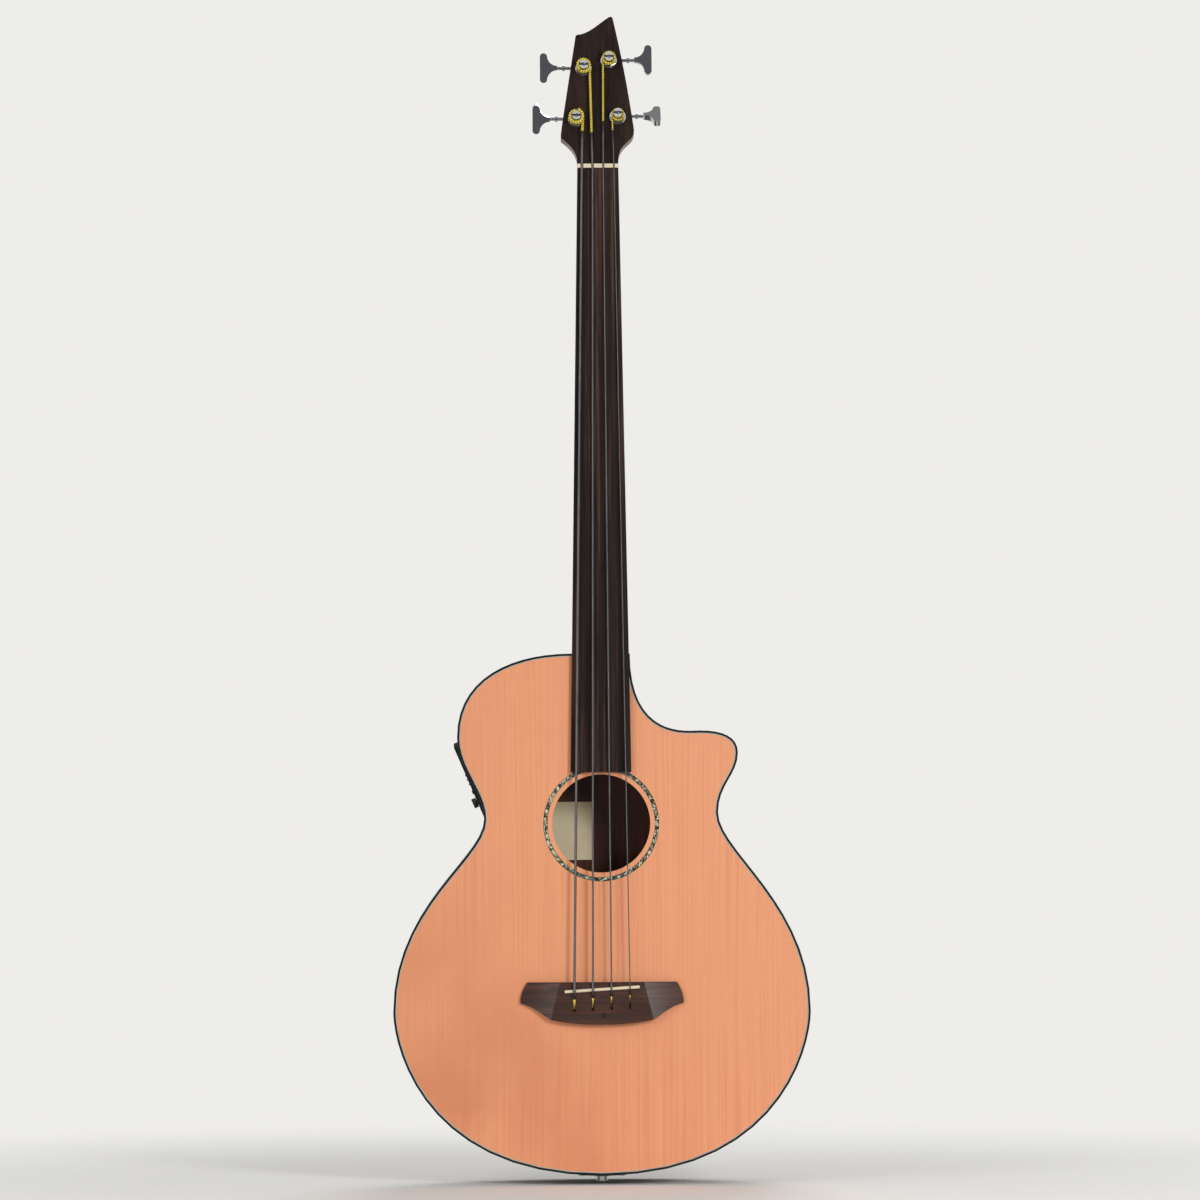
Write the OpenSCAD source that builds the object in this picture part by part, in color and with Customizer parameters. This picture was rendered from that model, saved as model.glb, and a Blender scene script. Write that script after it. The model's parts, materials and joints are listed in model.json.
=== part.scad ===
// Fretless four-string acoustic bass guitar with a soft cutaway.
// The neck runs up +Z, the soundboard faces -Y and the treble side is +X.
// The origin is on the centre line, at the fingerboard's nut end, in the soundboard's plane.

/* [Scale and strings] */
// String length from the nut to the saddle on the centre line
scale_len = 863.6; // [840:0.1:890]
// Extra length given to the lowest string at the saddle
bass_comp = 3.4; // [1:0.1:5]
// Length taken from the highest string at the saddle
treble_comp = 0.2; // [0:0.1:3]
// Distance between the outer strings at the nut
nut_spread = 33.8; // [28:0.1:36]
// Distance between the outer strings at the saddle
saddle_spread = 58.5; // [50:0.1:62]
// Thickness of the lowest string
string_e_d = 2.7; // [2.4:0.05:2.9]
// Thickness of the second string
string_a_d = 2.2; // [1.9:0.05:2.4]
// Thickness of the third string
string_d_d = 1.7; // [1.4:0.05:1.9]
// Thickness of the highest string
string_g_d = 1.2; // [1:0.05:1.4]
// Thickness that the silk adds to a string's ends
silk_d = 0.5; // [0.3:0.05:0.6]
// Height of the strings over the fingerboard at the nut
nut_action = 0.9; // [0.5:0.1:1.5]
// Turns of string on each tuning post
string_turns = 2.6; // [2:0.1:3]

/* [Neck] */
// Width of the neck at the nut
nut_w = 43.3; // [40:0.1:46]
// Thickness of the nut along the strings
nut_t = 4.4; // [3:0.1:6]
// Height of the nut over the fingerboard
nut_proud = 2.4; // [2:0.1:3]
// Length of the fingerboard from the nut
board_len = 637; // [620:1:637]
// Width of the fingerboard at its body end
board_end_w = 64; // [58:0.5:68]
// Thickness of the fingerboard
board_t = 6.5; // [5:0.1:8]
// Radius of the fingerboard's playing face
board_radius = 500; // [300:10:800]
// Depth of the neck's wood at the nut
neck_depth_nut = 16.5; // [15.5:0.1:19]
// Depth of the neck's wood before the heel
neck_depth_heel = 19; // [18:0.1:22]
// Depth of the heel at the body
heel_depth = 92; // [80:0.5:98]
// Length of the heel's flat foot along the neck
heel_foot = 16; // [12:0.5:22]
// Length of the curve from the heel's foot to the shaft
heel_sweep = 46; // [36:1:60]
// How much narrower the heel gets towards its cap, as a share of its width
heel_taper = 0.12; // [0:0.01:0.3]
// Thickness of the heel cap
heel_cap_t = 2.5; // [1.5:0.1:4]

/* [Headstock] */
// Angle that the headstock leans back from the neck
head_tilt = 12; // [8:0.5:14]
// Length of the headstock from the nut to its tip
head_len = 163.6; // [156:0.1:170]
// Half width of the headstock at its lower ears
ear_half_w = 38.7; // [37:0.1:41]
// Distance from the nut to the ears
ear_at = 33.5; // [28:0.5:36]
// Half width of the headstock near its top
head_top_half_w = 22.3; // [21:0.1:24]
// Distance from the nut to the shorter top corner
head_corner_at = 143.3; // [138:0.1:146]
// Thickness of the headstock's wood
head_t = 14.3; // [13:0.1:16]
// Thickness of the veneer on the headstock's face
veneer_t = 2.2; // [1:0.1:3]

/* [Body] */
// Distance from the nut to the body's neck end
body_start = 512; // [505:1:518]
// Distance from the nut to the body's tail end
body_end = 1061; // [1050:1:1075]
// Width of the upper bout, as if it had no cutaway
upper_w = 302.6; // [290:1:312]
// Distance from the nut to the widest place of the upper bout
upper_at = 600; // [595:1:606]
// Width of the waist
waist_w = 246.4; // [240:1:256]
// Distance from the nut to the waist on the bass side
waist_at = 686; // [680:1:692]
// Distance from the nut to the waist on the treble side
treble_waist_at = 680; // [674:1:688]
// Width of the lower bout
lower_w = 439.4; // [425:1:450]
// Distance from the nut to the widest place of the lower bout
lower_at = 889; // [880:1:900]
// Distance from the centre line to the horn's outermost place
horn_x = 144.5; // [140:0.5:148]
// Distance from the nut to the horn's outermost place
horn_at = 617; // [613:0.5:622]
// Distance from the nut to the floor of the cutaway
cutaway_at = 593.6; // [590:0.1:597]
// Distance from the centre line to where the horn's top starts to round over
horn_top_x = 105; // [100:0.5:110]
// Depth of the body at its neck end, on the centre line
depth_neck_end = 100; // [96:0.5:104]
// Depth of the body at its tail end, on the centre line
depth_tail_end = 117; // [110:0.5:124]
// Radius of the back's arch across the body
back_arch = 2400; // [1800:50:4000]
// Thickness of the soundboard
top_t = 3.2; // [2.6:0.1:3.8]
// Thickness of the back
back_t = 3; // [2.4:0.1:3.6]
// Thickness of the sides
side_t = 2.6; // [2.2:0.1:3]
// Width of the dark binding, seen from the front
binding_w = 2.3; // [1.8:0.1:2.5]
// Height of the binding along the sides
binding_h = 6; // [4.5:0.1:6]
// Width of the light line inside the binding
purfling_w = 1.1; // [0.6:0.1:1.5]
// Diameter of the soundhole
soundhole_d = 103.5; // [96:0.5:106]
// Distance from the nut to the centre of the soundhole
soundhole_at = 691; // [689:0.5:693]
// Inner radius of the rosette's shell ring
rosette_r = 56.6; // [54.5:0.1:58]
// Width of the rosette's ring
rosette_w = 4.4; // [3:0.1:7]

/* [Bridge] */
// Half width of the bridge from the centre line to a wing's tip
bridge_half_w = 86; // [80:0.1:92]
// Half width of the bridge's raised block along its top edge
bridge_block_half_w = 44.2; // [42:0.1:50]
// Thickness of the bridge at its raised block
bridge_t = 8.8; // [8:0.1:10]
// Thickness of the bridge at the tips of its wings
wing_t = 3.4; // [2.5:0.1:5]
// Thickness of the saddle
saddle_t = 3.3; // [2.8:0.1:4]
// Length of the saddle
saddle_len = 79; // [72:0.5:82]
// Height of the saddle over the bridge
saddle_proud = 3.2; // [2.5:0.1:4]
// Distance from the saddle to the end of each string's slot
slot_len = 17; // [14:0.5:18]

/* [Tuners] */
// Teeth on each tuner's wheel
gear_teeth = 20; // [18:1:22]
// Size of one tooth: the wheel's pitch diameter over its teeth
gear_module = 0.6; // [0.58:0.01:0.62]
// Pitch radius of the worm
worm_r = 2.4; // [2.3:0.05:2.6]
// Play between the worm's thread and the teeth on each flank
mesh_play = 0.2; // [0.16:0.01:0.24]
// Radius of the post above the headstock
post_r = 4.8; // [4.2:0.1:5]
// Height of the post over the headstock's face
post_h = 15.6; // [14:0.1:17]
// Radius of the key's shaft
key_shaft_r = 2; // [1.9:0.05:2.1]
// Distance from the post to the outer end of the button
key_reach = 46; // [43:0.5:48]
// Width of the button across its ears
button_w = 31.6; // [29:0.2:34]
// Length of the button along its shaft
button_l = 18.4; // [17:0.2:21]
// Thickness of the button
button_t = 6; // [5:0.1:7]
// Radial play of a shaft in its bore
running_fit = 0.05; // [0.02:0.01:0.09]

/* [Preamp and jack] */
// Length of the preamp's panel down the side
panel_len = 83.5; // [80:0.5:86]
// Width of the preamp's panel across the side
panel_w = 44; // [42:0.5:46]
// Most that the panel stands out from the side
panel_proud = 4.2; // [3.6:0.1:5]
// Diameter of the volume knob
knob_d = 10.4; // [9:0.1:12]
// Height of the volume knob over the panel
knob_h = 4.8; // [4:0.1:6]
// Travel of a tone slider to each side of its centre
slider_travel = 7; // [5:0.5:8]
// Gap between the battery door and its frame
door_gap = 0.3; // [0.2:0.05:0.4]
// Radius of the jack's bore, for a quarter-inch plug
jack_bore_r = 3.3; // [3.25:0.05:3.5]
// Width of the plate at the tail
jack_plate_w = 52; // [46:0.5:60]
// Thickness of the plate at the tail
jack_plate_t = 2.4; // [2:0.1:3]
// Play around a piece that moves in a slot or sits in a pocket
slot_play = 0.3; // [0.2:0.05:0.4]

/* [Hidden] */
$fn = 48;

// A hair that keeps a cutter's face off the face that it opens.
cut = 1;
// Room between a string and what it passes or rests on.
string_gap = 0.06;

// Outline of the body. Each pull is the length of a curve's handle.
neck_flat = 31;
shoulder_pull = 61;
upper_pull = 64;
upper_low_pull = 34;
waist_high_pull = 29;
waist_pull = 41;
lower_pull = 113;
lower_low_pull = 36;
tail_pull = 188;
horn_low_pull = 23;
horn_pull = 17;
horn_top_pull = 23;
cutaway_floor_pull = 14;
cutaway_wall_pull = 91;

function bezier(p, u, v, q, n) = [
    for (i = [0:n - 1])
        let (t = i / n, s = 1 - t)
        s * s * s * p + 3 * s * s * t * u + 3 * s * t * t * v + t * t * t * q
];

neck_left = [-neck_flat, -body_start];
neck_right = [neck_flat, -body_start];
upper_pt = [-upper_w / 2, -upper_at];
waist_pt = [-waist_w / 2, -waist_at];
lower_pt = [-lower_w / 2, -lower_at];
tail_pt = [0, -body_end];
lower_treble_pt = [lower_w / 2, -lower_at];
waist_treble_pt = [waist_w / 2, -treble_waist_at];
horn_pt = [horn_x, -horn_at];
horn_top_pt = [horn_top_x, -cutaway_at];

outline = concat(
    bezier(neck_left, neck_left + [-shoulder_pull, 0], upper_pt + [0, upper_pull], upper_pt, 14),
    bezier(upper_pt, upper_pt - [0, upper_low_pull], waist_pt + [0, waist_high_pull], waist_pt, 10),
    bezier(waist_pt, waist_pt - [0, waist_pull], lower_pt + [0, lower_pull], lower_pt, 14),
    bezier(lower_pt, lower_pt - [0, lower_low_pull], tail_pt - [tail_pull, 0], tail_pt, 15),
    bezier(tail_pt, tail_pt + [tail_pull, 0], lower_treble_pt - [0, lower_low_pull],
        lower_treble_pt, 15),
    bezier(lower_treble_pt, lower_treble_pt + [0, lower_pull], waist_treble_pt - [0, waist_pull],
        waist_treble_pt, 14),
    bezier(waist_treble_pt, waist_treble_pt + [0, waist_high_pull], horn_pt - [0, horn_low_pull],
        horn_pt, 8),
    bezier(horn_pt, horn_pt + [0, horn_pull], horn_top_pt + [horn_top_pull, 0], horn_top_pt, 8),
    bezier(horn_top_pt, horn_top_pt - [cutaway_floor_pull, 0], neck_right - [0, cutaway_wall_pull],
        neck_right, 16),
    [neck_right]
);

function unit(v) = v / norm(v);
function left_of(e) = [-e[1], e[0]];

// The outline moved inwards by d, each edge staying parallel to itself.
function inset(points, d) = let (n = len(points)) [
    for (i = [0:n - 1])
        let (
            before = left_of(unit(points[i] - points[(i + n - 1) % n])),
            after = left_of(unit(points[(i + 1) % n] - points[i]))
        )
        points[i] + (before + after) * d / (1 + before * after)
];

module outline_2d(d = 0) {
    polygon(inset(outline, d));
}

module ring_2d(outer, inner) {
    difference() {
        outline_2d(outer);
        outline_2d(inner);
    }
}

// A plate whose 2D shape lies in the X-Z plane, from depth y0 back to y0 + t.
module plate(y0, t) {
    translate([0, y0 + t, 0]) rotate([90, 0, 0]) linear_extrude(t) children();
}

// A rod along +Y.
module rod_y(r, y0, y1, x, z) {
    translate([x, y0, z]) rotate([-90, 0, 0]) cylinder(r = r, h = y1 - y0);
}

// A rod along +Z.
module rod_z(r, x, y, z0, z1) {
    translate([x, y, z0]) cylinder(r = r, h = z1 - z0);
}

module rounded_rect(w, h, r) {
    square([w - 2 * r, h], center = true);
    square([w, h - 2 * r], center = true);
    for (sx = [-1, 1], sy = [-1, 1])
        translate([sx * (w / 2 - r), sy * (h / 2 - r)]) circle(r = r);
}

// The back: its outer face is a wide cylinder that leans with the body's taper.
body_len = body_end - body_start;
back_lean = atan((depth_tail_end - depth_neck_end) / body_len);
back_facets = 720;

// Everything in front of the face that lies d under the back's outer face.
module before_back(d) {
    translate([0, depth_neck_end, -body_start]) rotate([back_lean, 0, 0])
        translate([0, -back_arch, 0])
            cylinder(r = back_arch - d, h = 3 * body_len, center = true, $fn = back_facets);
}

full_depth = depth_tail_end + 20;
lining_w = 6.5;
lining_h = 13;
lining_inner = side_t + lining_w;
purfling_h = 1.6;
soundhole_r = soundhole_d / 2;
rosette_depth = 1.2;

// Strings. Row order is lowest to highest string.
string_names = ["e", "a", "d", "g"];
string_d = [string_e_d, string_a_d, string_d_d, string_g_d];
string_count = len(string_d);
board_face = -board_t;
saddle_lean = atan((bass_comp + treble_comp) / saddle_spread);
saddle_top = bridge_t + saddle_proud;

function string_share(i) = i / (string_count - 1) - 0.5;
function nut_x(i) = nut_spread * string_share(i);
function saddle_x(i) = saddle_spread * string_share(i);
function saddle_z(x) = -scale_len - (bass_comp - treble_comp) / 2 + x * tan(saddle_lean);
function nut_y(i) = board_face - nut_action - string_d[i] / 2;

// Headstock frame: its face is the local y = 0 plane, z runs up to the tip.
face_y = -veneer_t;
module on_headstock() {
    translate([0, face_y, nut_t]) rotate([-head_tilt, 0, 0]) children();
}
function from_headstock(p) = [
    p[0],
    face_y + p[1] * cos(head_tilt) + p[2] * sin(head_tilt),
    nut_t - p[1] * sin(head_tilt) + p[2] * cos(head_tilt)
];

// Posts: place of each on the headstock and the side that its key points to.
post_x = [-22.4, -14.2, 12.6, 21.5];
post_z = [49.4, 105.8, 114.4, 52.1];
post_side = [-1, -1, 1, 1];
// Angle at which each button was left.
key_angle = [32, 14, 4, -42];

// Tuner, seen from behind: plate, worm above the wheel, wheel on the post's end.
head_back = veneer_t + head_t;
plate_t = 1.6;
plate_out = 10.4;
plate_in = 12;
plate_h = 32;
plate_mid = 3;
plate_inset = 3.2;
plate_corner_r = 2.5;
plate_back = head_back + plate_t;
gear_r = gear_teeth * gear_module / 2;
gear_pitch = PI * gear_module;
gear_t = 2;
worm_over = gear_r + worm_r;
worm_y = plate_back + 6.6;
worm_turns = 3.5;
worm_len = worm_turns * gear_pitch;
worm_tip_r = worm_r + gear_module;
worm_root_r = worm_r - 1.15 * gear_module;
lug_t = 2.6;
lug_w = 7.8;
lug_x = 5.2;
lug_cap = 3.8;
post_stem_r = 4;
post_foot_r = 3;
bushing_r = 6.4;
bushing_len = 12;
bushing_hex_r = 7.9;
bushing_hex_h = 3;
washer_r = 8.5;
washer_t = 0.8;
collar_r = 3.1;
collar_at = 19.5;
collar_len = 2.6;
post_slot_w = 2.8;
post_slot_h = 4;
post_hole_r = 1.9;
post_hole_h = 9;
spigot_w = 3.6;
gear_screw_r = 2.7;
gear_screw_h = 1.8;
gear_shank_r = 0.9;
gear_shank_len = 7;
screw_r = 1.2;
screw_head_r = 2.3;
screw_head_h = 1.2;
screw_len = 9;
screw_pilot_r = screw_r + 0.02;

// Neck.
function board_w(z) = nut_w + (board_end_w - nut_w) * -z / board_len;
shaft_end = heel_foot + heel_sweep;
heel_face = -body_start + slot_play / 3;
rod_r = 2.5;
rod_y_at = 10;
rod_from = -18;
rod_to = -body_start - 26;
rod_nut_r = 3.6;
rod_nut_len = 20;
rod_bore_r = rod_nut_r + slot_play;
block_len = 58;
block_half_w = 42;
tail_block_len = 24;
bolt_r = 3;
bolt_depths = [36, 70];
bolt_tips = [24, 14];
bolt_head_r = 5.5;
bolt_head_h = 4;

// Bridge.
bridge_mid = -scale_len - 14.4;
bridge_front = 20.3;
bridge_back = 24.4;
plug_r = 2.5;
plug_at = -scale_len - 29;
plug_x = 1.5;
plate_under_t = 3;
plate_to_front = 18;
plate_to_back = 34;
plate_front_half_w = 46;
plate_back_half_w = 62;
slot_lean = 32;
slot_start = 4;
silk_start = 7.5;
ball_r = 2.9;
ball_len = 4.4;

// Preamp panel frame: x points out of the side, y back, z down along the panel.
panel_lean = 156.8;
panel_x = -137.1;
panel_z = -651.8;
panel_y = 36;
panel_top = -49;
panel_corner = 5;
knob_at = 17.6;
button_at = 6.2;
slider_at = [-13, -8, -3];
slider_w = 2;
slider_l = 4.4;
slider_foot = 0.7;
slider_depth = 7;
slider_proud = 0.9;
door_hinge_at = -41.9;
door_edge = 1.1;
door_len = 20;
door_w = 30;
door_t = 2.2;
hinge_r = 0.6;
hinge_pin_len = 1.5;
battery_size = [48.5, 26.5, 17.5];
bay_wall = 1.6;
panel_t = 2.4;
housing_from = -43.4;
housing_to = 30.8;
housing_w = 36;
housing_depth = 24;
bay_to = -20.6;
knob_shaft_r = 3;
knob_shaft_len = 12;
phase_r = 2;
phase_foot_r = 2.9;
phase_proud = 1.1;
phase_travel = 0.8;

module on_panel() {
    translate([panel_x, 0, panel_z]) rotate([0, panel_lean, 0]) children();
}

// A block in the panel frame, from its outer face x1 inwards to x0.
module panel_block(x0, x1, y_mid, w, z0, z1) {
    translate([x0, y_mid - w / 2, z0]) cube([x1 - x0, w, z1 - z0]);
}

module panel_rod(r, x0, x1, y, z) {
    translate([x0, y, z]) rotate([0, 90, 0]) cylinder(r = r, h = x1 - x0);
}

// Tail.
jack_y = 58;
jack_plate_h = 58;
jack_barrel_r = 5.85;
jack_neck_r = 5;
jack_end_r = 6.6;
jack_end_t = 2;
jack_out = 7.6;
jack_in = 46;
jack_bore_len = 32;
jack_flange_r = 7.4;
jack_flange_t = 1.8;
jack_nut_r = 8.2;
jack_nut_t = 3;
plate_corner = 6;
jack_seat = 1;
jack_screw_x = jack_plate_w / 2 - 5;
jack_screw_y = jack_plate_h / 2 - 6;

// Sweeps a round tube along a path; ref is never parallel to the path.
function way(path, i) = unit(path[min(i + 1, len(path) - 1)] - path[max(i - 1, 0)]);
function hoop(c, t, ref, r, k) = let (n = unit(cross(t, ref)), b = cross(n, t)) [
    for (j = [0:k - 1]) c + r * (cos(360 * j / k) * n + sin(360 * j / k) * b)
];

module tube(path, radii, ref, k) {
    n = len(path);
    points = [for (i = [0:n - 1]) each hoop(path[i], way(path, i), ref, radii[i], k)];
    walls = [
        for (i = [0:n - 2], j = [0:k - 1])
            let (a = i * k + j, b = i * k + (j + 1) % k)
            each [[a, b, b + k], [a, b + k, a + k]]
    ];
    caps = [
        for (j = [1:k - 2])
            each [[0, j + 1, j], [(n - 1) * k, (n - 1) * k + j, (n - 1) * k + j + 1]]
    ];
    polyhedron(points, concat(walls, caps));
}

// Skins closed rings that all have as many points.
module skin(rings) {
    n = len(rings);
    k = len(rings[0]);
    walls = [
        for (i = [0:n - 2], j = [0:k - 1])
            let (a = i * k + j, b = i * k + (j + 1) % k)
            each [[a, b, b + k], [a, b + k, a + k]]
    ];
    first = [for (j = [0:k - 1]) k - 1 - j];
    last = [for (j = [0:k - 1]) (n - 1) * k + j];
    polyhedron([for (r = rings) each r], concat([first], walls, [last]));
}

// Body

module soundboard() {
    color("#e8a076") difference() {
        union() {
            plate(0, top_t) outline_2d(binding_w + purfling_w);
            plate(purfling_h, top_t - purfling_h) outline_2d(binding_w);
        }
        rod_y(soundhole_r, -cut, top_t + cut, 0, -soundhole_at);
        rosette_channel();
        string_holes();
    }
}

module rosette_channel() {
    translate([0, 0, -soundhole_at]) difference() {
        rod_y(rosette_r + rosette_w, -cut, rosette_depth, 0, 0);
        rod_y(rosette_r, -2 * cut, rosette_depth + cut, 0, 0);
    }
}

module rosette() {
    color("#6f8f86") difference() {
        rod_y(rosette_r + rosette_w, 0, rosette_depth, 0, -soundhole_at);
        rod_y(rosette_r, -cut, rosette_depth + cut, 0, -soundhole_at);
        plate(-cut, rosette_depth + 2 * cut) board_outline_2d();
    }
}

module purfling() {
    color("#c8c4b8") plate(0, purfling_h) ring_2d(binding_w, binding_w + purfling_w);
}

module top_binding() {
    color("#26211f") plate(0, binding_h) ring_2d(0, binding_w);
}

module back_binding() {
    color("#26211f") difference() {
        intersection() {
            plate(0, full_depth) ring_2d(0, binding_w);
            before_back(0);
        }
        before_back(binding_h);
    }
}

module back_plate() {
    color("#5a2f20") difference() {
        intersection() {
            plate(0, full_depth) outline_2d(binding_w);
            before_back(0);
        }
        before_back(back_t);
    }
}

// Two bent sides that meet at the tail and under the neck.
module sides() {
    color("#3a241b") difference() {
        intersection() {
            plate(binding_h, full_depth) ring_2d(0, side_t);
            before_back(binding_h);
        }
        on_panel() housing_block(slot_play, panel_proud);
        on_tail() {
            rod_y(jack_barrel_r + slot_play, -side_t - cut, cut, 0, 0);
            jack_screw_rods(screw_pilot_r, screw_len + slot_play);
        }
        rod_z(rod_bore_r, 0, rod_y_at, -body_start - side_t - cut, -body_start + cut);
        for (d = bolt_depths)
            rod_z(bolt_r + running_fit, 0, d, -body_start - side_t - cut, -body_start + cut);
    }
}

module block_rooms_2d() {
    translate([-block_half_w, -body_start - block_len])
        square([2 * block_half_w, block_len + cut]);
    translate([-block_half_w, -body_end - cut]) square([2 * block_half_w, tail_block_len + cut]);
}

// The inside of the body that lies above or below the line at z.
module end_block_2d(z, low) {
    intersection() {
        outline_2d(side_t);
        block_rooms_2d();
        translate([-block_half_w - cut, low ? z - body_len : z])
            square([2 * (block_half_w + cut), body_len]);
    }
}

module neck_block() {
    color("#b98a5c") difference() {
        intersection() {
            plate(top_t, full_depth) end_block_2d(-upper_at, false);
            before_back(back_t);
        }
        rod_z(rod_bore_r, 0, rod_y_at, -body_start - block_len - cut, -body_start + cut);
        for (d = bolt_depths)
            rod_z(bolt_r + running_fit, 0, d, -body_start - block_len - cut, -body_start + cut);
    }
}

module tail_block() {
    color("#b98a5c") difference() {
        intersection() {
            plate(top_t, full_depth) end_block_2d(-lower_at, true);
            before_back(back_t);
        }
        on_tail() {
            rod_y(jack_barrel_r + slot_play, -tail_block_len - cut, cut, 0, 0);
            jack_screw_rods(screw_pilot_r, screw_len + slot_play);
        }
    }
}

// Kerfed strips that tie the sides to the soundboard and to the back.
module lining_2d() {
    difference() {
        ring_2d(side_t, lining_inner);
        block_rooms_2d();
    }
}

module linings() {
    color("#c79a6b") {
        plate(top_t, lining_h) lining_2d();
        difference() {
            intersection() {
                plate(0, full_depth) lining_2d();
                before_back(back_t);
            }
            before_back(back_t + lining_h);
        }
    }
}

// A brace bar on a flat plate, peaked along its length.
module brace(a, b, w, h, y0) {
    length = norm(b - a);
    turn = atan2(b[1] - a[1], b[0] - a[0]);
    translate([a[0], y0, a[1]]) rotate([0, -turn, 0]) rotate([0, 90, 0])
        linear_extrude(length)
            polygon([[-w / 2, 0], [w / 2, 0], [w / 2, 0.55 * h], [0, h], [-w / 2, 0.55 * h]]);
}

brace_w = 8;
brace_h = 13;
// Braces under the soundboard: both ends, share of the full width, share of the full height.
top_brace_rows = [
    [[-118, -648], [190, -982], 1, 1],
    [[118, -648], [-190, -982], 1, 1],
    [[-62, -640], [-62, -742], 0.7, 0.5],
    [[62, -640], [62, -742], 0.7, 0.5],
    [[-170, -622], [170, -622], 1.4, 1],
    [[-92, -926], [70, -1000], 0.8, 0.8],
    [[-112, -970], [22, -1030], 0.8, 0.8]
];
module top_braces() {
    color("#dcb98a") difference() {
        intersection() {
            plate(top_t, full_depth) difference() {
                outline_2d(lining_inner + slot_play);
                block_rooms_2d();
            }
            union() {
                for (row = top_brace_rows)
                    brace(row[0], row[1], brace_w * row[2], brace_h * row[3], top_t);
            }
        }
        plate(top_t - cut, full_depth) bridge_plate_2d(slot_play);
    }
}

// Grown by play, it is the room that the braces leave for the plate and the strings' ends.
module bridge_plate_2d(play = 0) {
    front = bridge_mid + plate_to_front + play;
    back = bridge_mid - plate_to_back - play;
    front_w = plate_front_half_w + play;
    back_w = plate_back_half_w + play;
    polygon([[-front_w, front], [front_w, front], [back_w, back], [-back_w, back]]);
}

module bridge_plate() {
    color("#b5834e") difference() {
        plate(top_t, plate_under_t) bridge_plate_2d();
        string_holes();
    }
}

back_brace_at = [-640, -770, -880, -985];
module back_braces() {
    color("#dcb98a") difference() {
        intersection() {
            plate(0, full_depth) outline_2d(lining_inner + slot_play);
            before_back(back_t);
            union() {
                for (z = back_brace_at)
                    translate([-lower_w / 2, 0, z]) cube([lower_w, full_depth, brace_w]);
            }
        }
        before_back(back_t + brace_h);
    }
}

// Neck

module board_outline_2d() {
    polygon([[-nut_w / 2, 0], [nut_w / 2, 0], [board_end_w / 2, -board_len],
        [-board_end_w / 2, -board_len]]);
}

module board_solid() {
    intersection() {
        plate(-board_t, board_t) board_outline_2d();
        translate([0, board_radius - board_t, -board_len / 2])
            cylinder(r = board_radius, h = 2 * board_len, center = true, $fn = back_facets);
    }
}

// Markers along the bass edge, as shares of the scale length.
dot_places = [0.206, 0.333, 0.439, 0.5];
dot_r = 1.2;
dot_t = 1.4;
module side_dot_rods(r, t) {
    for (share = dot_places)
        let (z = -scale_len * share)
            translate([-board_w(z) / 2 - cut, -board_t / 2, z]) rotate([0, 90, 0])
                cylinder(r = r, h = cut + t);
}

module fingerboard() {
    color("#2b1d18") difference() {
        board_solid();
        side_dot_rods(dot_r + string_gap / 2, dot_t + string_gap);
    }
}

// One slice of the neck: flat in front, round behind, narrower where it is deep.
slice_points = 26;
heel_full = heel_depth + heel_cap_t + 6;
function slice(w, depth, taper, z) = concat(
    [[w / 2, -cut, z]],
    [
        for (i = [0:slice_points])
            let (a = 180 * i / slice_points, s = sin(a))
            [w / 2 * cos(a) * (1 - taper * s), depth * pow(s, 0.8), z]
    ],
    [[-w / 2, -cut, z]]
);

// The thickening behind the nut: its heights on the neck and its rise over the headstock's back.
volute = [[34, -0.8], [24, 1.8], [12, 3]];
function head_back_y(z) = face_y + head_back / cos(head_tilt) + (z - nut_t) * tan(head_tilt);

function heel_curve(s) = 1 - sqrt(1 - (1 - s) * (1 - s));
shaft_steps = 4;
sweep_steps = 8;
neck_slices = concat(
    [
        for (row = volute)
            slice(nut_w - row[0] / 4, head_back_y(row[0]) + row[1], 0, row[0])
    ],
    [
        for (i = [0:shaft_steps])
            let (z = -i / shaft_steps * (body_start - shaft_end))
            slice(board_w(z), neck_depth_nut + (neck_depth_heel - neck_depth_nut) * i / shaft_steps,
                0, z)
    ],
    [
        for (i = [1:sweep_steps])
            let (
                s = cos(90 * i / sweep_steps),
                z = -body_start + heel_foot + heel_sweep * s,
                grow = heel_curve(s)
            )
            slice(board_w(z), neck_depth_heel + (heel_full - neck_depth_heel) * grow,
                heel_taper * grow, z)
    ],
    [slice(board_w(-body_start), heel_full, heel_taper, heel_face)]
);

head_foot = 8;
head_side_bulge = 2.4;
head_points = concat(
    [[-nut_w / 2, -head_foot]],
    bezier([-nut_w / 2, 2], [-nut_w / 2, 16], [-ear_half_w + 6, ear_at - 9],
        [-ear_half_w, ear_at - 4], 8),
    [[-ear_half_w, ear_at - 4]],
    bezier([-ear_half_w, ear_at], [-ear_half_w * 0.93, ear_at + head_len * 0.14],
        [-head_top_half_w - head_side_bulge * 2, head_corner_at * 0.76],
        [-head_top_half_w, head_corner_at - 1], 6),
    [[-head_top_half_w, head_corner_at - 1]],
    bezier([-head_top_half_w + 1.6, head_corner_at], [-8, head_corner_at + 1],
        [2, head_len - 8], [13, head_len - 0.7], 10),
    [[13, head_len - 0.7], [15.4, head_len]],
    bezier([17, head_len - 1.2], [23 + head_side_bulge, head_len * 0.76],
        [ear_half_w * 0.85, ear_at + head_len * 0.3], [ear_half_w, ear_at + 4], 8),
    bezier([ear_half_w, ear_at + 4], [ear_half_w, ear_at - 2], [ear_half_w - 2, ear_at - 4],
        [ear_half_w - 7, ear_at - 8.5], 5),
    bezier([ear_half_w - 7, ear_at - 8.5], [ear_half_w - 13, ear_at - 14], [nut_w / 2, 14],
        [nut_w / 2, 2], 7),
    [[nut_w / 2, 2], [nut_w / 2, -head_foot]]
);

module head_2d() {
    polygon(head_points);
}

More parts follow.
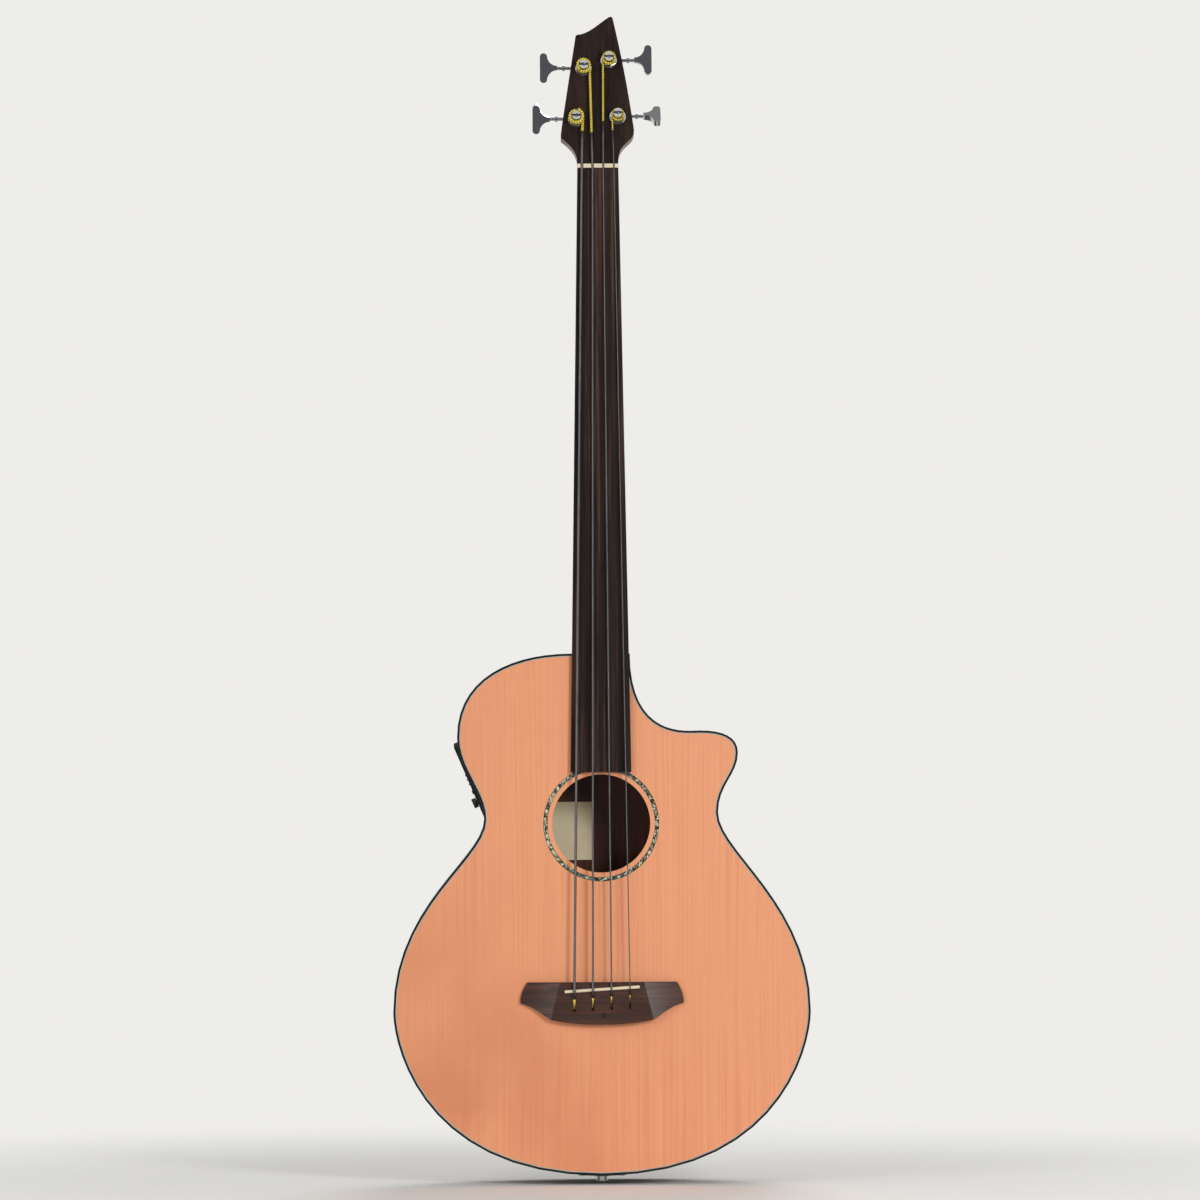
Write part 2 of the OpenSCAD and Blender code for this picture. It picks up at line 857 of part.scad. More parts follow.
module head_slab(y0, t) {
    on_headstock() difference() {
        plate(y0, t) head_2d();
        for (i = [0:string_count - 1])
            rod_y(bushing_r + slot_play / 3, y0 - cut, y0 + t + cut, post_x[i], post_z[i]);
    }
}

module headplate() {
    color("#241a17") difference() {
        head_slab(0, veneer_t);
        in_front_of_nut(nut_t);
    }
}

// A cutter for all that reaches below z1, so that the headstock stops at the nut's seat.
module in_front_of_nut(z1) {
    translate([-nut_w, -head_back, -nut_w]) cube([2 * nut_w, 3 * head_back, nut_w + z1]);
}

module neck() {
    color("#6e3321") difference() {
        union() {
            difference() {
                skin(neck_slices);
                on_headstock() translate([-nut_w, -head_back, 0])
                    cube([2 * nut_w, head_back + veneer_t + cut, 2 * volute[0][0]]);
            }
            difference() {
                head_slab(veneer_t, head_t);
                in_front_of_nut(nut_t / 2);
            }
        }
        translate([-nut_w, -head_back, heel_face - cut])
            cube([2 * nut_w, head_back, body_start + nut_t + cut]);
        translate([-rod_r - string_gap, -cut, -body_start - cut])
            cube([2 * (rod_r + string_gap), rod_y_at + rod_r + string_gap + cut,
                body_start + rod_from + 2 * cut]);
        for (i = [0, 1])
            rod_z(bolt_r + running_fit, 0, bolt_depths[i], heel_face - cut,
                -body_start + bolt_tips[i] + slot_play);
        for (i = [0:string_count - 1])
            on_post(i) tuner_screw_rods(i, screw_pilot_r, screw_len + slot_play);
        translate([-nut_w, heel_depth, heel_face - cut])
            cube([2 * nut_w, heel_full, 2 * heel_foot]);
        on_heel() rod_y(screw_pilot_r, -strap_screw_in - slot_play, cut, 0, 0);
    }
}

heel_mid = -body_start + heel_foot / 2;
strap_screw_in = 15;
module on_heel() {
    translate([0, heel_depth, heel_mid]) children();
}

module heel_cap() {
    color("#26211f") difference() {
        intersection() {
            skin(neck_slices);
            translate([-nut_w, heel_depth, heel_face - cut])
                cube([2 * nut_w, heel_cap_t, 2 * heel_foot]);
        }
        on_heel() rod_y(screw_r + string_gap, -cut, heel_cap_t + cut, 0, 0);
    }
}

module nut() {
    color("#efe6cf") difference() {
        intersection() {
            translate([-nut_w / 2, board_face - nut_proud, 0])
                cube([nut_w, -board_face + nut_proud, nut_t]);
            translate([0, board_radius - board_t - nut_proud, 0])
                cylinder(r = board_radius, h = 3 * nut_t, center = true, $fn = back_facets);
        }
        for (i = [0:string_count - 1])
            translate(nut_point(i)) rotate([-nut_break(i), nut_fan(i), 0])
                translate([-string_d[i] / 2 - slot_play / 2, -2 * nut_proud, -cut])
                    cube([string_d[i] + slot_play, 2 * nut_proud + string_d[i] / 2 + string_gap,
                        nut_t + 3 * cut]);
    }
}

module truss_rod() {
    color("#8d8d90") {
        rod_z(rod_r, 0, rod_y_at, -body_start - 1, rod_from);
        rod_z(rod_r - 0.5, 0, rod_y_at, rod_to, -body_start - 1 + cut / 2);
    }
}

module truss_rod_nut() {
    color("#b59a4c") difference() {
        rod_z(rod_nut_r, 0, rod_y_at, rod_to - rod_nut_len / 2, rod_to + rod_nut_len / 2);
        rod_z(rod_r - 0.5 + running_fit, 0, rod_y_at, rod_to - slot_play, rod_to + rod_nut_len);
        translate([0, rod_y_at, rod_to - rod_nut_len]) cylinder(r = 2.3, h = rod_nut_len - 4, $fn = 6);
    }
}

module neck_bolts() {
    color("#2f2f31") for (i = [0, 1]) {
        rod_z(bolt_r, 0, bolt_depths[i], -body_start - block_len, -body_start + bolt_tips[i]);
        difference() {
            rod_z(bolt_head_r, 0, bolt_depths[i], -body_start - block_len - bolt_head_h,
                -body_start - block_len);
            translate([0, bolt_depths[i], -body_start - block_len - bolt_head_h - cut])
                cylinder(r = bolt_key_r, h = bolt_head_h, $fn = 6);
        }
    }
}

bolt_key_r = 2.6;

// Small round markers: a plug in the bridge and a row along the fingerboard's bass edge.
plug_t = 1.5;
module inlay_dots() {
    color("#1c1614") rod_y(plug_r, -bridge_t - slot_play, -bridge_t + plug_t, plug_x, plug_at);
    color("#e6e0d2") intersection() {
        board_solid();
        side_dot_rods(dot_r, dot_t);
    }
}

// Bridge

block_low_w = bridge_block_half_w + 10.2;
wing_top = bridge_half_w - 7.5;
wing_edge = concat(
    bezier([wing_top, bridge_front], [wing_top + 4.5, bridge_front - 6],
        [bridge_half_w, 6], [bridge_half_w, -1.6], 6),
    bezier([bridge_half_w, -1.6], [74, -5], [66, -10], [block_low_w + 1, -19.4], 6),
    bezier([block_low_w, -19], [43, -21.6], [28, -bridge_back], [0, -bridge_back], 7)
);
bridge_points = concat(
    wing_edge,
    [for (i = [len(wing_edge) - 1:-1:0]) [-wing_edge[i][0], wing_edge[i][1]]]
);

module bridge_2d() {
    translate([0, bridge_mid]) polygon(bridge_points);
}

// Each wing is scooped from the raised block down to its thin tip.
wing_lean = 14;
wing_drop = bridge_t - wing_t;
wing_span = bridge_half_w - bridge_block_half_w + 3;
wing_scoop_r = (wing_span * wing_span + wing_drop * wing_drop) / (2 * wing_drop);
module wing_scoop(side) {
    translate([side * bridge_block_half_w, 0, bridge_mid + bridge_front])
        rotate([0, -side * wing_lean, 0])
            translate([side * wing_span, -wing_t - wing_scoop_r, 0])
                cylinder(r = wing_scoop_r, h = 4 * bridge_half_w, center = true, $fn = back_facets);
}

module bridge() {
    color("#33211b") difference() {
        plate(-bridge_t, bridge_t) bridge_2d();
        for (side = [-1, 1])
            wing_scoop(side);
        on_saddle() plate(-bridge_t - cut, bridge_t + saddle_seat + cut)
            rounded_rect(saddle_len + 2 * string_gap, saddle_t + 2 * string_gap, saddle_corner);
        for (i = [0:string_count - 1])
            along_string(i)
                translate([-hole_r(i) + slot_side, 0, slot_start])
                    cube([2 * (hole_r(i) - slot_side), 2 * bridge_t,
                        slot_len / cos(slot_lean) - slot_start]);
        string_holes();
        rod_y(plug_r + running_fit, -bridge_t - cut, -bridge_t + plug_t, plug_x, plug_at);
    }
}

module on_saddle() {
    translate([0, 0, saddle_z(0)]) rotate([0, -saddle_lean, 0]) children();
}

saddle_seat = -2;
pickup_t = 1.4;
saddle_corner = 1.2;
slot_side = 0.15;
crown_r = saddle_t / 2;
crown_y = -saddle_top + crown_r;
crown_steps = 8;
module saddle() {
    color("#f1e9d4") on_saddle() intersection() {
        translate([-saddle_len / 2 - cut, 0, 0]) rotate([90, 0, 90])
            linear_extrude(saddle_len + 2 * cut)
                polygon(concat(
                    [for (j = [0:crown_steps])
                        let (a = 180 * j / crown_steps)
                        [crown_y - crown_r * sin(a), crown_r * cos(a)]],
                    [[saddle_seat - pickup_t, -crown_r], [saddle_seat - pickup_t, crown_r]]
                ));
        plate(-saddle_top - cut, saddle_top + cut)
            rounded_rect(saddle_len, saddle_t + cut / 4, saddle_corner);
    }
}

module saddle_pickup() {
    color("#b08d57") on_saddle()
        translate([-saddle_len / 2 + saddle_corner, saddle_seat - pickup_t, -crown_r])
            cube([saddle_len - 2 * saddle_corner, pickup_t, saddle_t]);
}

// Strings

// From the saddle's crown each string dives through the bridge to its ball.
dive = [0, sin(slot_lean), -cos(slot_lean)];
ball_y = top_t + plate_under_t + ball_r + string_gap;
function silk_r(i) = (string_d[i] + silk_d) / 2;
function hole_r(i) = silk_r(i) + slot_play;
function crown_point(i, a) = let (r = crown_r + string_gap + string_d[i] / 2)
    [saddle_x(i), crown_y - r * cos(a), saddle_z(saddle_x(i)) - r * sin(a)];
function ball_at(i) = let (p = crown_point(i, slot_lean)) p + dive * (ball_y - p[1]) / dive[1];

module along_string(i) {
    translate(crown_point(i, slot_lean)) rotate([180 + slot_lean, 0, 0]) children();
}

module string_holes() {
    for (i = [0:string_count - 1])
        along_string(i) translate([0, 0, slot_start])
            cylinder(r = hole_r(i),
                h = norm(ball_at(i) - crown_point(i, slot_lean)) - slot_start);
}

function nut_point(i) = [nut_x(i), nut_y(i), 0];
function to_headstock(p) = let (v = p - [0, face_y, nut_t]) [
    v[0],
    v[1] * cos(head_tilt) - v[2] * sin(head_tilt),
    v[1] * sin(head_tilt) + v[2] * cos(head_tilt)
];

// Windings: the lowest turn lies over the bushing's nut and each turn climbs the post.
wind_gap = 0.3;
loop_gap = 0.5;
loop_steps = 24;
silk_from = [35, 33, 46, 36];
silk_step = 0.6;
bushing_top = washer_t + bushing_hex_h;
function wind_r(i) = post_r + wind_gap + silk_r(i);
function wind_low(i) = bushing_top + wind_gap + silk_r(i);
function wind_pitch(i) = 2 * silk_r(i) + loop_gap;
function wind_turns(i) = min(string_turns,
    (post_h - wind_gap - silk_r(i) - wind_low(i)) / wind_pitch(i));
function wind_start(i) =
    let (n = to_headstock(nut_point(i)), d = [n[0] - post_x[i], n[2] - post_z[i]])
    atan2(d[1], d[0]) - post_side[i] * acos(wind_r(i) / norm(d));
function wind_point(i, turn) = let (a = wind_start(i) - post_side[i] * 360 * turn)
    from_headstock([
        post_x[i] + wind_r(i) * cos(a),
        -wind_low(i) - wind_pitch(i) * turn,
        post_z[i] + wind_r(i) * sin(a)
    ]);
function nut_way(i) = wind_point(i, 0) - nut_point(i);
function nut_break(i) = atan2(nut_way(i)[1], nut_way(i)[2]);
function nut_fan(i) = atan2(nut_way(i)[0], norm([nut_way(i)[1], nut_way(i)[2]]));
function to_silk(i) = (silk_from[i] - to_headstock(nut_point(i))[2])
    / (post_z[i] - to_headstock(nut_point(i))[2]);

module string_wire(i) {
    steps = floor(loop_steps * wind_turns(i));
    ball = ball_at(i);
    leave = crown_point(i, slot_lean);
    winding = [for (j = [0:steps]) wind_point(i, j / loop_steps)];
    tail = winding[steps] + 2 * silk_r(i) * unit(winding[steps] - winding[steps - 1]);
    path = concat(
        [ball - dive * (ball_r + string_gap), leave + dive * (silk_start + silk_step),
            leave + dive * silk_start],
        [for (j = [4:-1:0]) crown_point(i, slot_lean * j / 4)],
        [nut_point(i)],
        [nut_point(i) + nut_way(i) * to_silk(i),
            nut_point(i) + nut_way(i) * to_silk(i) + unit(nut_way(i)) * silk_step],
        winding,
        [tail]
    );
    bare = string_d[i] / 2;
    radii = concat(
        [silk_r(i), silk_r(i), bare],
        [for (j = [0:4]) bare],
        [bare, bare, silk_r(i)],
        [for (j = [0:steps]) silk_r(i)],
        [silk_r(i)]
    );
    color("#8f9296") tube(path, radii, [0, cos(head_tilt), -sin(head_tilt)], 6);
    color("#b59a4c") translate(ball) rotate([0, 90, 0])
        cylinder(r = ball_r, h = ball_len, center = true);
    // Least distance between neighbouring loops, surface to surface.
    loops = [
        for (j = [0:steps - loop_steps])
            norm(winding[j + loop_steps] - winding[j]) - 2 * silk_r(i)
    ];
    echo(string = string_names[i], turns = wind_turns(i), least_gap = min(loops));
}

// Tuners

module on_post(i) {
    on_headstock() translate([post_x[i], 0, post_z[i]]) children();
}

// A block or a rod that reaches from x0 to x1 towards the tuner's key.
module side_box(i, x0, x1, y0, y1, z0, z1) {
    translate([post_side[i] > 0 ? x0 : -x1, y0, z0]) cube([x1 - x0, y1 - y0, z1 - z0]);
}

module side_rod(i, r, x0, x1) {
    translate([post_side[i] > 0 ? x0 : -x1, worm_y, worm_over]) rotate([0, 90, 0])
        cylinder(r = r, h = x1 - x0);
}

module at_plate_screws(i) {
    for (x = [plate_inset - plate_in, plate_out - plate_inset], s = [-1, 1])
        translate([post_side[i] * x, 0, plate_mid + s * (plate_h / 2 - plate_inset)]) children();
}

module tuner_screw_rods(i, r, len) {
    at_plate_screws(i) rod_y(r, plate_back - len, plate_back + cut, 0, 0);
}

module tuner_plate(i) {
    color("#c9ccd0") on_post(i) difference() {
        union() {
            plate(head_back, plate_t)
                translate([post_side[i] * (plate_out - plate_in) / 2, plate_mid])
                    rounded_rect(plate_out + plate_in, plate_h, plate_corner_r);
            for (x = [-lug_x - lug_t, lug_x])
                side_box(i, x, x + lug_t, plate_back - plate_t / 2, worm_y + lug_cap,
                    worm_over - lug_w / 2, worm_over + lug_w / 2);
        }
        side_rod(i, key_shaft_r + running_fit, -lug_x - lug_t - cut, lug_x + lug_t + cut);
        rod_y(post_foot_r + running_fit, head_back - cut, plate_back + cut, 0, 0);
        tuner_screw_rods(i, screw_r + slot_play / 2, 2 * plate_t);
    }
}

// The worm's thread, cut square across: a cam that turns once for each tooth passed.
worm_step = 360 / gear_pitch;
thread_half = gear_pitch / 4 - mesh_play / 2;
flank_slope = tan(20);
tip_half = thread_half - gear_module * flank_slope;
root_half = thread_half + (worm_r - worm_root_r) * flank_slope;
worm_profile = [
    for (j = [-7:8])
        let (
            flat = tip_half * worm_step,
            foot = root_half * worm_step,
            side = abs(j),
            a = side < 3 ? flat * side / 2
                : side < 7 ? flat + (foot - flat) * (side - 2) / 4
                : foot + (180 - foot) * (side - 6) / 2,
            r = side < 3 ? worm_tip_r
                : side < 7 ? worm_tip_r + (worm_root_r - worm_tip_r) * (side - 2) / 4
                : worm_root_r
        )
        r * [cos(a * sign(j)), sin(a * sign(j))]
];
steps_per_turn = 10;
worm_steps = worm_turns * steps_per_turn;

module worm() {
    skin([
        for (k = [0:worm_steps])
            let (share = 0.5 - k / worm_steps, a = 360 * worm_turns * share)
            [
                for (p = worm_profile)
                    [
                        worm_len * share,
                        p[0] * sin(a) + p[1] * cos(a),
                        p[1] * sin(a) - p[0] * cos(a)
                    ]
            ]
    ]);
}

lobe_r = 3.9;
button_neck_r = 2.4;
// Fishtail button: it flares from a narrow neck to two ears at its outer end.
module button_2d() {
    inner = key_reach - button_l;
    flare_r = button_l - 2 * lobe_r;
    ear_y = button_w / 2 - lobe_r;
    for (s = [-1, 1]) translate([key_reach - lobe_r, s * ear_y]) circle(r = lobe_r);
    translate([key_reach - 2 * lobe_r, -ear_y]) square([2 * lobe_r, 2 * ear_y]);
    difference() {
        translate([inner, -ear_y]) square([flare_r + cut, 2 * ear_y]);
        for (s = [-1, 1])
            translate([inner, s * (button_neck_r + flare_r)]) circle(r = flare_r);
    }
}

module tuner_key(i) {
    core_r = worm_root_r - 0.15;
    color("#d4d7da") on_post(i) {
        translate([0, worm_y, worm_over]) worm();
        side_rod(i, core_r, -lug_x - lug_t / 2, lug_x + lug_t / 2);
        side_rod(i, key_shaft_r, -lug_x - lug_t - slot_play, slot_play - lug_x);
        side_rod(i, key_shaft_r, lug_x - slot_play, key_reach - button_l + cut);
        side_rod(i, collar_r, collar_at, collar_at + collar_len);
        translate([0, worm_y, worm_over]) rotate([key_angle[i], 0, 0])
            rotate([0, post_side[i] > 0 ? 0 : 180, 0])
                plate(-button_t / 2, button_t) button_2d();
    }
}

wheel_front = worm_y - gear_t / 2;
module tuner_post(i) {
    shoulder = -bushing_top - slot_play;
    color("#d4d7da") on_post(i) difference() {
        union() {
            rod_y(post_r, -post_h, shoulder, 0, 0);
            rod_y(post_stem_r, shoulder, head_back - slot_play, 0, 0);
            rod_y(post_foot_r, head_back - slot_play, wheel_front, 0, 0);
            translate([-spigot_w / 2, wheel_front, -spigot_w / 2])
                cube([spigot_w, gear_t, spigot_w]);
        }
        translate([-2 * post_r, -post_h - cut, -post_slot_w / 2])
            cube([4 * post_r, post_slot_h + cut, post_slot_w]);
        rod_y(post_hole_r, -post_h - cut, -post_h + post_hole_h, 0, 0);
        rod_y(gear_shank_r + 0.02, wheel_front + gear_t - gear_shank_len - slot_play,
            wheel_front + gear_t + cut, 0, 0);
    }
}

// Wheel teeth have straight flanks; a gap faces the worm at rest.
wheel_half = [
    [gear_r - 1.15 * gear_module, root_half],
    [gear_r + gear_module, tip_half]
];
module wheel_2d() {
    difference() {
        polygon([
            for (j = [0:gear_teeth - 1], c = [[0, -1], [1, -1], [1, 1], [0, 1]])
                let (
                    r = wheel_half[c[0]][0],
                    a = 90 + 360 * (j + 0.5) / gear_teeth
                        + c[1] * wheel_half[c[0]][1] / r * 180 / PI
                )
                r * [cos(a), sin(a)]
        ]);
        square(spigot_w + running_fit, center = true);
    }
}

module tuner_gear(i) {
    back = wheel_front + gear_t;
    color("#b59a4c") on_post(i) plate(wheel_front, gear_t) wheel_2d();
    color("#8d8d90") on_post(i) difference() {
        union() {
            rod_y(gear_screw_r, back + running_fit, back + gear_screw_h, 0, 0);
            rod_y(gear_shank_r, back - gear_shank_len, back + gear_screw_h / 2, 0, 0);
        }
        translate([-gear_screw_r - cut, back + gear_screw_h / 2, -screw_slot_w / 2])
            cube([2 * (gear_screw_r + cut), gear_screw_h, screw_slot_w]);
    }
}

// Angle at which each bushing's nut was left.
nut_turn = [10, 35, 22, 50];
module tuner_bushings() {
    color("#d4d7da") for (i = [0:string_count - 1])
        on_post(i) difference() {
            union() {
                rod_y(bushing_r, -washer_t / 2, bushing_len, 0, 0);
                rod_y(washer_r, -washer_t, 0, 0, 0);
                translate([0, -bushing_top, 0]) rotate([-90, nut_turn[i], 0])
                    cylinder(r = bushing_hex_r, h = bushing_hex_h + washer_t / 2, $fn = 6);
            }
            rod_y(post_stem_r + running_fit, -2 * bushing_top, bushing_len + cut, 0, 0);
        }
}

screw_slot_w = 0.8;
// A screw with its head's seat at y = 0 and its point at -len.
module screw(len) {
    difference() {
        union() {
            rod_y(screw_head_r, 0, screw_head_h, 0, 0);
            rod_y(screw_r, -len, screw_head_h / 2, 0, 0);
        }
        translate([-screw_head_r - cut, screw_head_h / 2, -screw_slot_w / 2])
            cube([2 * (screw_head_r + cut), screw_head_h, screw_slot_w]);
    }
}

module wood_screws() {
    color("#b9bcc0") {
        for (i = [0:string_count - 1])
            on_post(i) at_plate_screws(i) translate([0, plate_back, 0]) screw(screw_len);
        on_tail() at_jack_screws() translate([0, jack_seat, 0]) screw(screw_len);
        on_heel() translate([0, strap_seat, 0]) screw(strap_seat + strap_screw_in);
    }
}

// Preamp

// The opening that the preamp's inner part goes through, up to the depth x1.
module housing_block(play, x1) {
    panel_block(-2 * housing_depth, x1, panel_y, housing_w + 2 * play,
        housing_from - play, housing_to + play);
}

// The face is flat; the rim behind it follows the side.
module preamp_panel() {
    color("#1b1b1d") difference() {
        union() {
            difference() {
                intersection() {
                    plate(panel_y - panel_w / 2, panel_w) difference() {
                        outline_2d(-panel_proud);
                        outline_2d(0);
                    }
                    on_panel() translate([0, panel_y, panel_top + panel_len / 2])
                        rotate([0, 90, 0]) translate([0, 0, -2 * panel_w])
                            linear_extrude(2 * panel_w)
                                rounded_rect(panel_len, panel_w, panel_corner);
                }
                on_panel() housing_block(slot_play, -panel_t);
            }
            on_panel() panel_block(-panel_t, 0, panel_y, housing_w, housing_from, housing_to);
        }
        on_panel() {
            panel_rod(knob_shaft_r + running_fit, -2 * panel_w, cut, panel_y, knob_at);
            panel_rod(phase_r + running_fit, -2 * panel_w, cut, panel_y, button_at);
            for (z = slider_at)
                panel_block(-2 * panel_w, cut, panel_y,
                    slider_l + 2 * (slider_travel + slot_play),
                    z - slider_w / 2 - slot_play, z + slider_w / 2 + slot_play);
            panel_block(-2 * panel_w, cut, panel_y, door_w + 2 * door_gap,
                door_hinge_at - door_edge - door_gap, door_hinge_at + door_len + door_gap);
            panel_rod_y(hinge_r + running_fit, door_w / 2 + door_gap + hinge_pin_len + slot_play);
        }
    }
}

// A rod on the battery door's hinge line, reaching to both sides of the panel's middle.
module panel_rod_y(r, reach) {
    rod_y(r, panel_y - reach, panel_y + reach, -door_edge, door_hinge_at);
}

battery_mid = door_hinge_at + door_len / 2 - 0.2;
battery_from = panel_t + 0.6;
bay_depth = battery_from + battery_size[0] + slot_play + bay_wall;
module preamp_housing() {
    color("#2a2a2d") on_panel() difference() {
        union() {
            panel_block(-housing_depth, -panel_t, panel_y, housing_w, bay_to - cut, housing_to);
            panel_block(-bay_depth, -panel_t, panel_y, housing_w, housing_from, bay_to);
        }
        panel_block(bay_wall - bay_depth, cut, panel_y, battery_size[1] + 2 * slot_play,
            battery_mid - battery_size[2] / 2 - slot_play,
            battery_mid + battery_size[2] / 2 + slot_play);
        panel_rod(knob_shaft_r + running_fit, -knob_shaft_len - slot_play, cut, panel_y, knob_at);
        panel_rod(phase_foot_r + running_fit, -slider_depth - phase_travel - slot_play, cut,
            panel_y, button_at);
        for (z = slider_at)
            panel_block(-slider_depth - slot_play, cut, panel_y,
                slider_l + 2 * (slider_foot + slider_travel + slot_play),
                z - slider_w / 2 - slider_foot - slot_play,
                z + slider_w / 2 + slider_foot + slot_play);
    }
}

knob_grip_n = 18;
knob_grip_r = 0.5;
module volume_knob() {
    color("#232325") on_panel() {
        difference() {
            panel_rod(knob_d / 2, slot_play, slot_play + knob_h, panel_y, knob_at);
            for (j = [0:knob_grip_n - 1])
                let (a = 360 * j / knob_grip_n)
                    panel_rod(knob_grip_r, slot_play + knob_h / 4, slot_play + knob_h + cut,
                        panel_y + knob_d / 2 * cos(a), knob_at + knob_d / 2 * sin(a));
            panel_block(slot_play + knob_h * 0.8, slot_play + knob_h + cut, panel_y,
                screw_slot_w, knob_at, knob_at + knob_d);
        }
        panel_rod(knob_shaft_r, -knob_shaft_len, 2 * slot_play, panel_y, knob_at);
    }
}

module tone_slider(z) {
    color("#d8d8d8") on_panel() {
        panel_block(-slider_depth, slider_proud, panel_y, slider_l, z - slider_w / 2,
            z + slider_w / 2);
        panel_block(-slider_depth, -panel_t - slot_play, panel_y, slider_l + 2 * slider_foot,
            z - slider_w / 2 - slider_foot, z + slider_w / 2 + slider_foot);
    }
}

module phase_button() {
    color("#3a3a3d") on_panel() {
        panel_rod(phase_r, -slider_depth, phase_proud, panel_y, button_at);
        panel_rod(phase_foot_r, -slider_depth, -panel_t - running_fit, panel_y, button_at);
    }
}

notch_w = 10;
module battery_door() {
    color("#202022") on_panel() difference() {
        union() {
            panel_block(-door_t, 0, panel_y, door_w, door_hinge_at, door_hinge_at + door_len);
            rod_y(door_t / 2, panel_y - door_w / 2, panel_y + door_w / 2, -door_edge,
                door_hinge_at);
            panel_rod_y(hinge_r, door_w / 2 + hinge_pin_len);
        }
        panel_block(-door_t / 2, cut, panel_y, notch_w, door_hinge_at + door_len - door_t,
            door_hinge_at + door_len + cut);
    }
}

terminal_r = 2.8;
terminal_h = 1;
module battery() {
    back = -battery_from - battery_size[0];
    color("#3c3f46") on_panel() {
        panel_block(back + terminal_h, -battery_from, panel_y, battery_size[1],
            battery_mid - battery_size[2] / 2, battery_mid + battery_size[2] / 2);
        for (s = [-1, 1])
            panel_rod(terminal_r, back, back + 2 * terminal_h,
                panel_y + s * battery_size[1] / 4, battery_mid);
    }
}

// The lead follows the bass side from the housing and crosses to the jack's inner end.
lead_r = 1.4;
lead_y = 40;
lead_side = inset(outline, side_t + lead_r + slot_play);
lead_out = 8;
lead_straight = 4;
lead_end = 3;
// Outline points between which the lead lies on the side.
lead_first = 24;
lead_last = 46;
lead_steps = 10;
module inner_lead() {
    start = [
        for (d = [slot_play, lead_straight])
            [
                panel_x - lead_out * cos(panel_lean) + (housing_to + d) * sin(panel_lean),
                lead_y,
                panel_z + lead_out * sin(panel_lean) + (housing_to + d) * cos(panel_lean)
            ]
    ];
    along = [for (j = [lead_first:lead_last]) [lead_side[j][0], lead_y, lead_side[j][1]]];
    end = [0, jack_y, -body_end + jack_in + slot_play];
    last = along[len(along) - 1];
    before_end = end + [0, 0, lead_end];
    cross_over = bezier(last, last + [30, 0, -12], end + [-10, 0, 40], before_end, lead_steps);
    path = concat(start, along, [for (j = [1:lead_steps - 1]) cross_over[j]],
        [before_end, end]);
    color("#1d1d1f") tube(path, [for (p = path) lead_r], [0, 1, 0.01], 8);
}

// Tail

// Tail frame: y runs out of the tail, z runs to the back.
module on_tail() {
    translate([0, jack_y, -body_end]) rotate([-90, 0, 0]) children();
}

module at_jack_screws() {
    for (sx = [-1, 1], sz = [-1, 1])
        translate([sx * jack_screw_x, 0, sz * jack_screw_y]) children();
}

module jack_screw_rods(r, len) {
    at_jack_screws() rod_y(r, jack_seat - len, jack_seat + cut, 0, 0);
}

module jack_plate() {
    color("#1b1b1d") difference() {
        intersection() {
            plate(jack_y - jack_plate_h / 2, jack_plate_h) difference() {
                outline_2d(-jack_plate_t);
                outline_2d(0);
            }
            on_tail() plate(-jack_plate_w, 2 * jack_plate_w)
                rounded_rect(jack_plate_w, jack_plate_h, plate_corner);
        }
        on_tail() {
            rod_y(jack_barrel_r + slot_play, -cut, 2 * jack_plate_t, 0, 0);
            jack_screw_rods(screw_r + slot_play / 2, 4 * jack_plate_t);
            at_jack_screws() rod_y(screw_head_r + slot_play / 2, jack_seat, 4 * jack_plate_t, 0, 0);
        }
    }
}

module output_jack() {
    face = jack_plate_t + 0.02;
    color("#cfd2d6") on_tail() {
        difference() {
            union() {
                rod_y(jack_barrel_r, -jack_in, face + jack_flange_t / 2, 0, 0);
                rod_y(jack_flange_r, face, face + jack_flange_t, 0, 0);
                rod_y(jack_neck_r, face, face + jack_out, 0, 0);
                rod_y(jack_end_r, face + jack_out - jack_end_t, face + jack_out, 0, 0);
            }
            rod_y(jack_bore_r, face + jack_out - jack_bore_len, face + jack_out + cut, 0, 0);
        }
        difference() {
            translate([0, -tail_block_len - jack_nut_t, 0]) rotate([-90, 0, 0])
                cylinder(r = jack_nut_r, h = jack_nut_t, $fn = 6);
            rod_y(jack_barrel_r + running_fit, -2 * tail_block_len, 0, 0, 0);
        }
    }
}

strap_h = 12;
strap_base_r = 5;
strap_base_t = 1.5;
strap_neck_r = 3.4;
strap_end_r = 6.8;
strap_end_t = 3;
strap_sink = 1.5;
strap_seat = heel_cap_t + strap_h - strap_sink;
module heel_strap_button() {
    color("#cfd2d6") on_heel() difference() {
        union() {
            rod_y(strap_base_r, heel_cap_t, heel_cap_t + strap_base_t, 0, 0);
            rod_y(strap_neck_r, heel_cap_t, heel_cap_t + strap_h, 0, 0);
            rod_y(strap_end_r, heel_cap_t + strap_h - strap_end_t, heel_cap_t + strap_h, 0, 0);
        }
        rod_y(screw_r + string_gap, 0, heel_cap_t + strap_h + cut, 0, 0);
        rod_y(screw_head_r + slot_play / 2, strap_seat, heel_cap_t + strap_h + cut, 0, 0);
    }
}

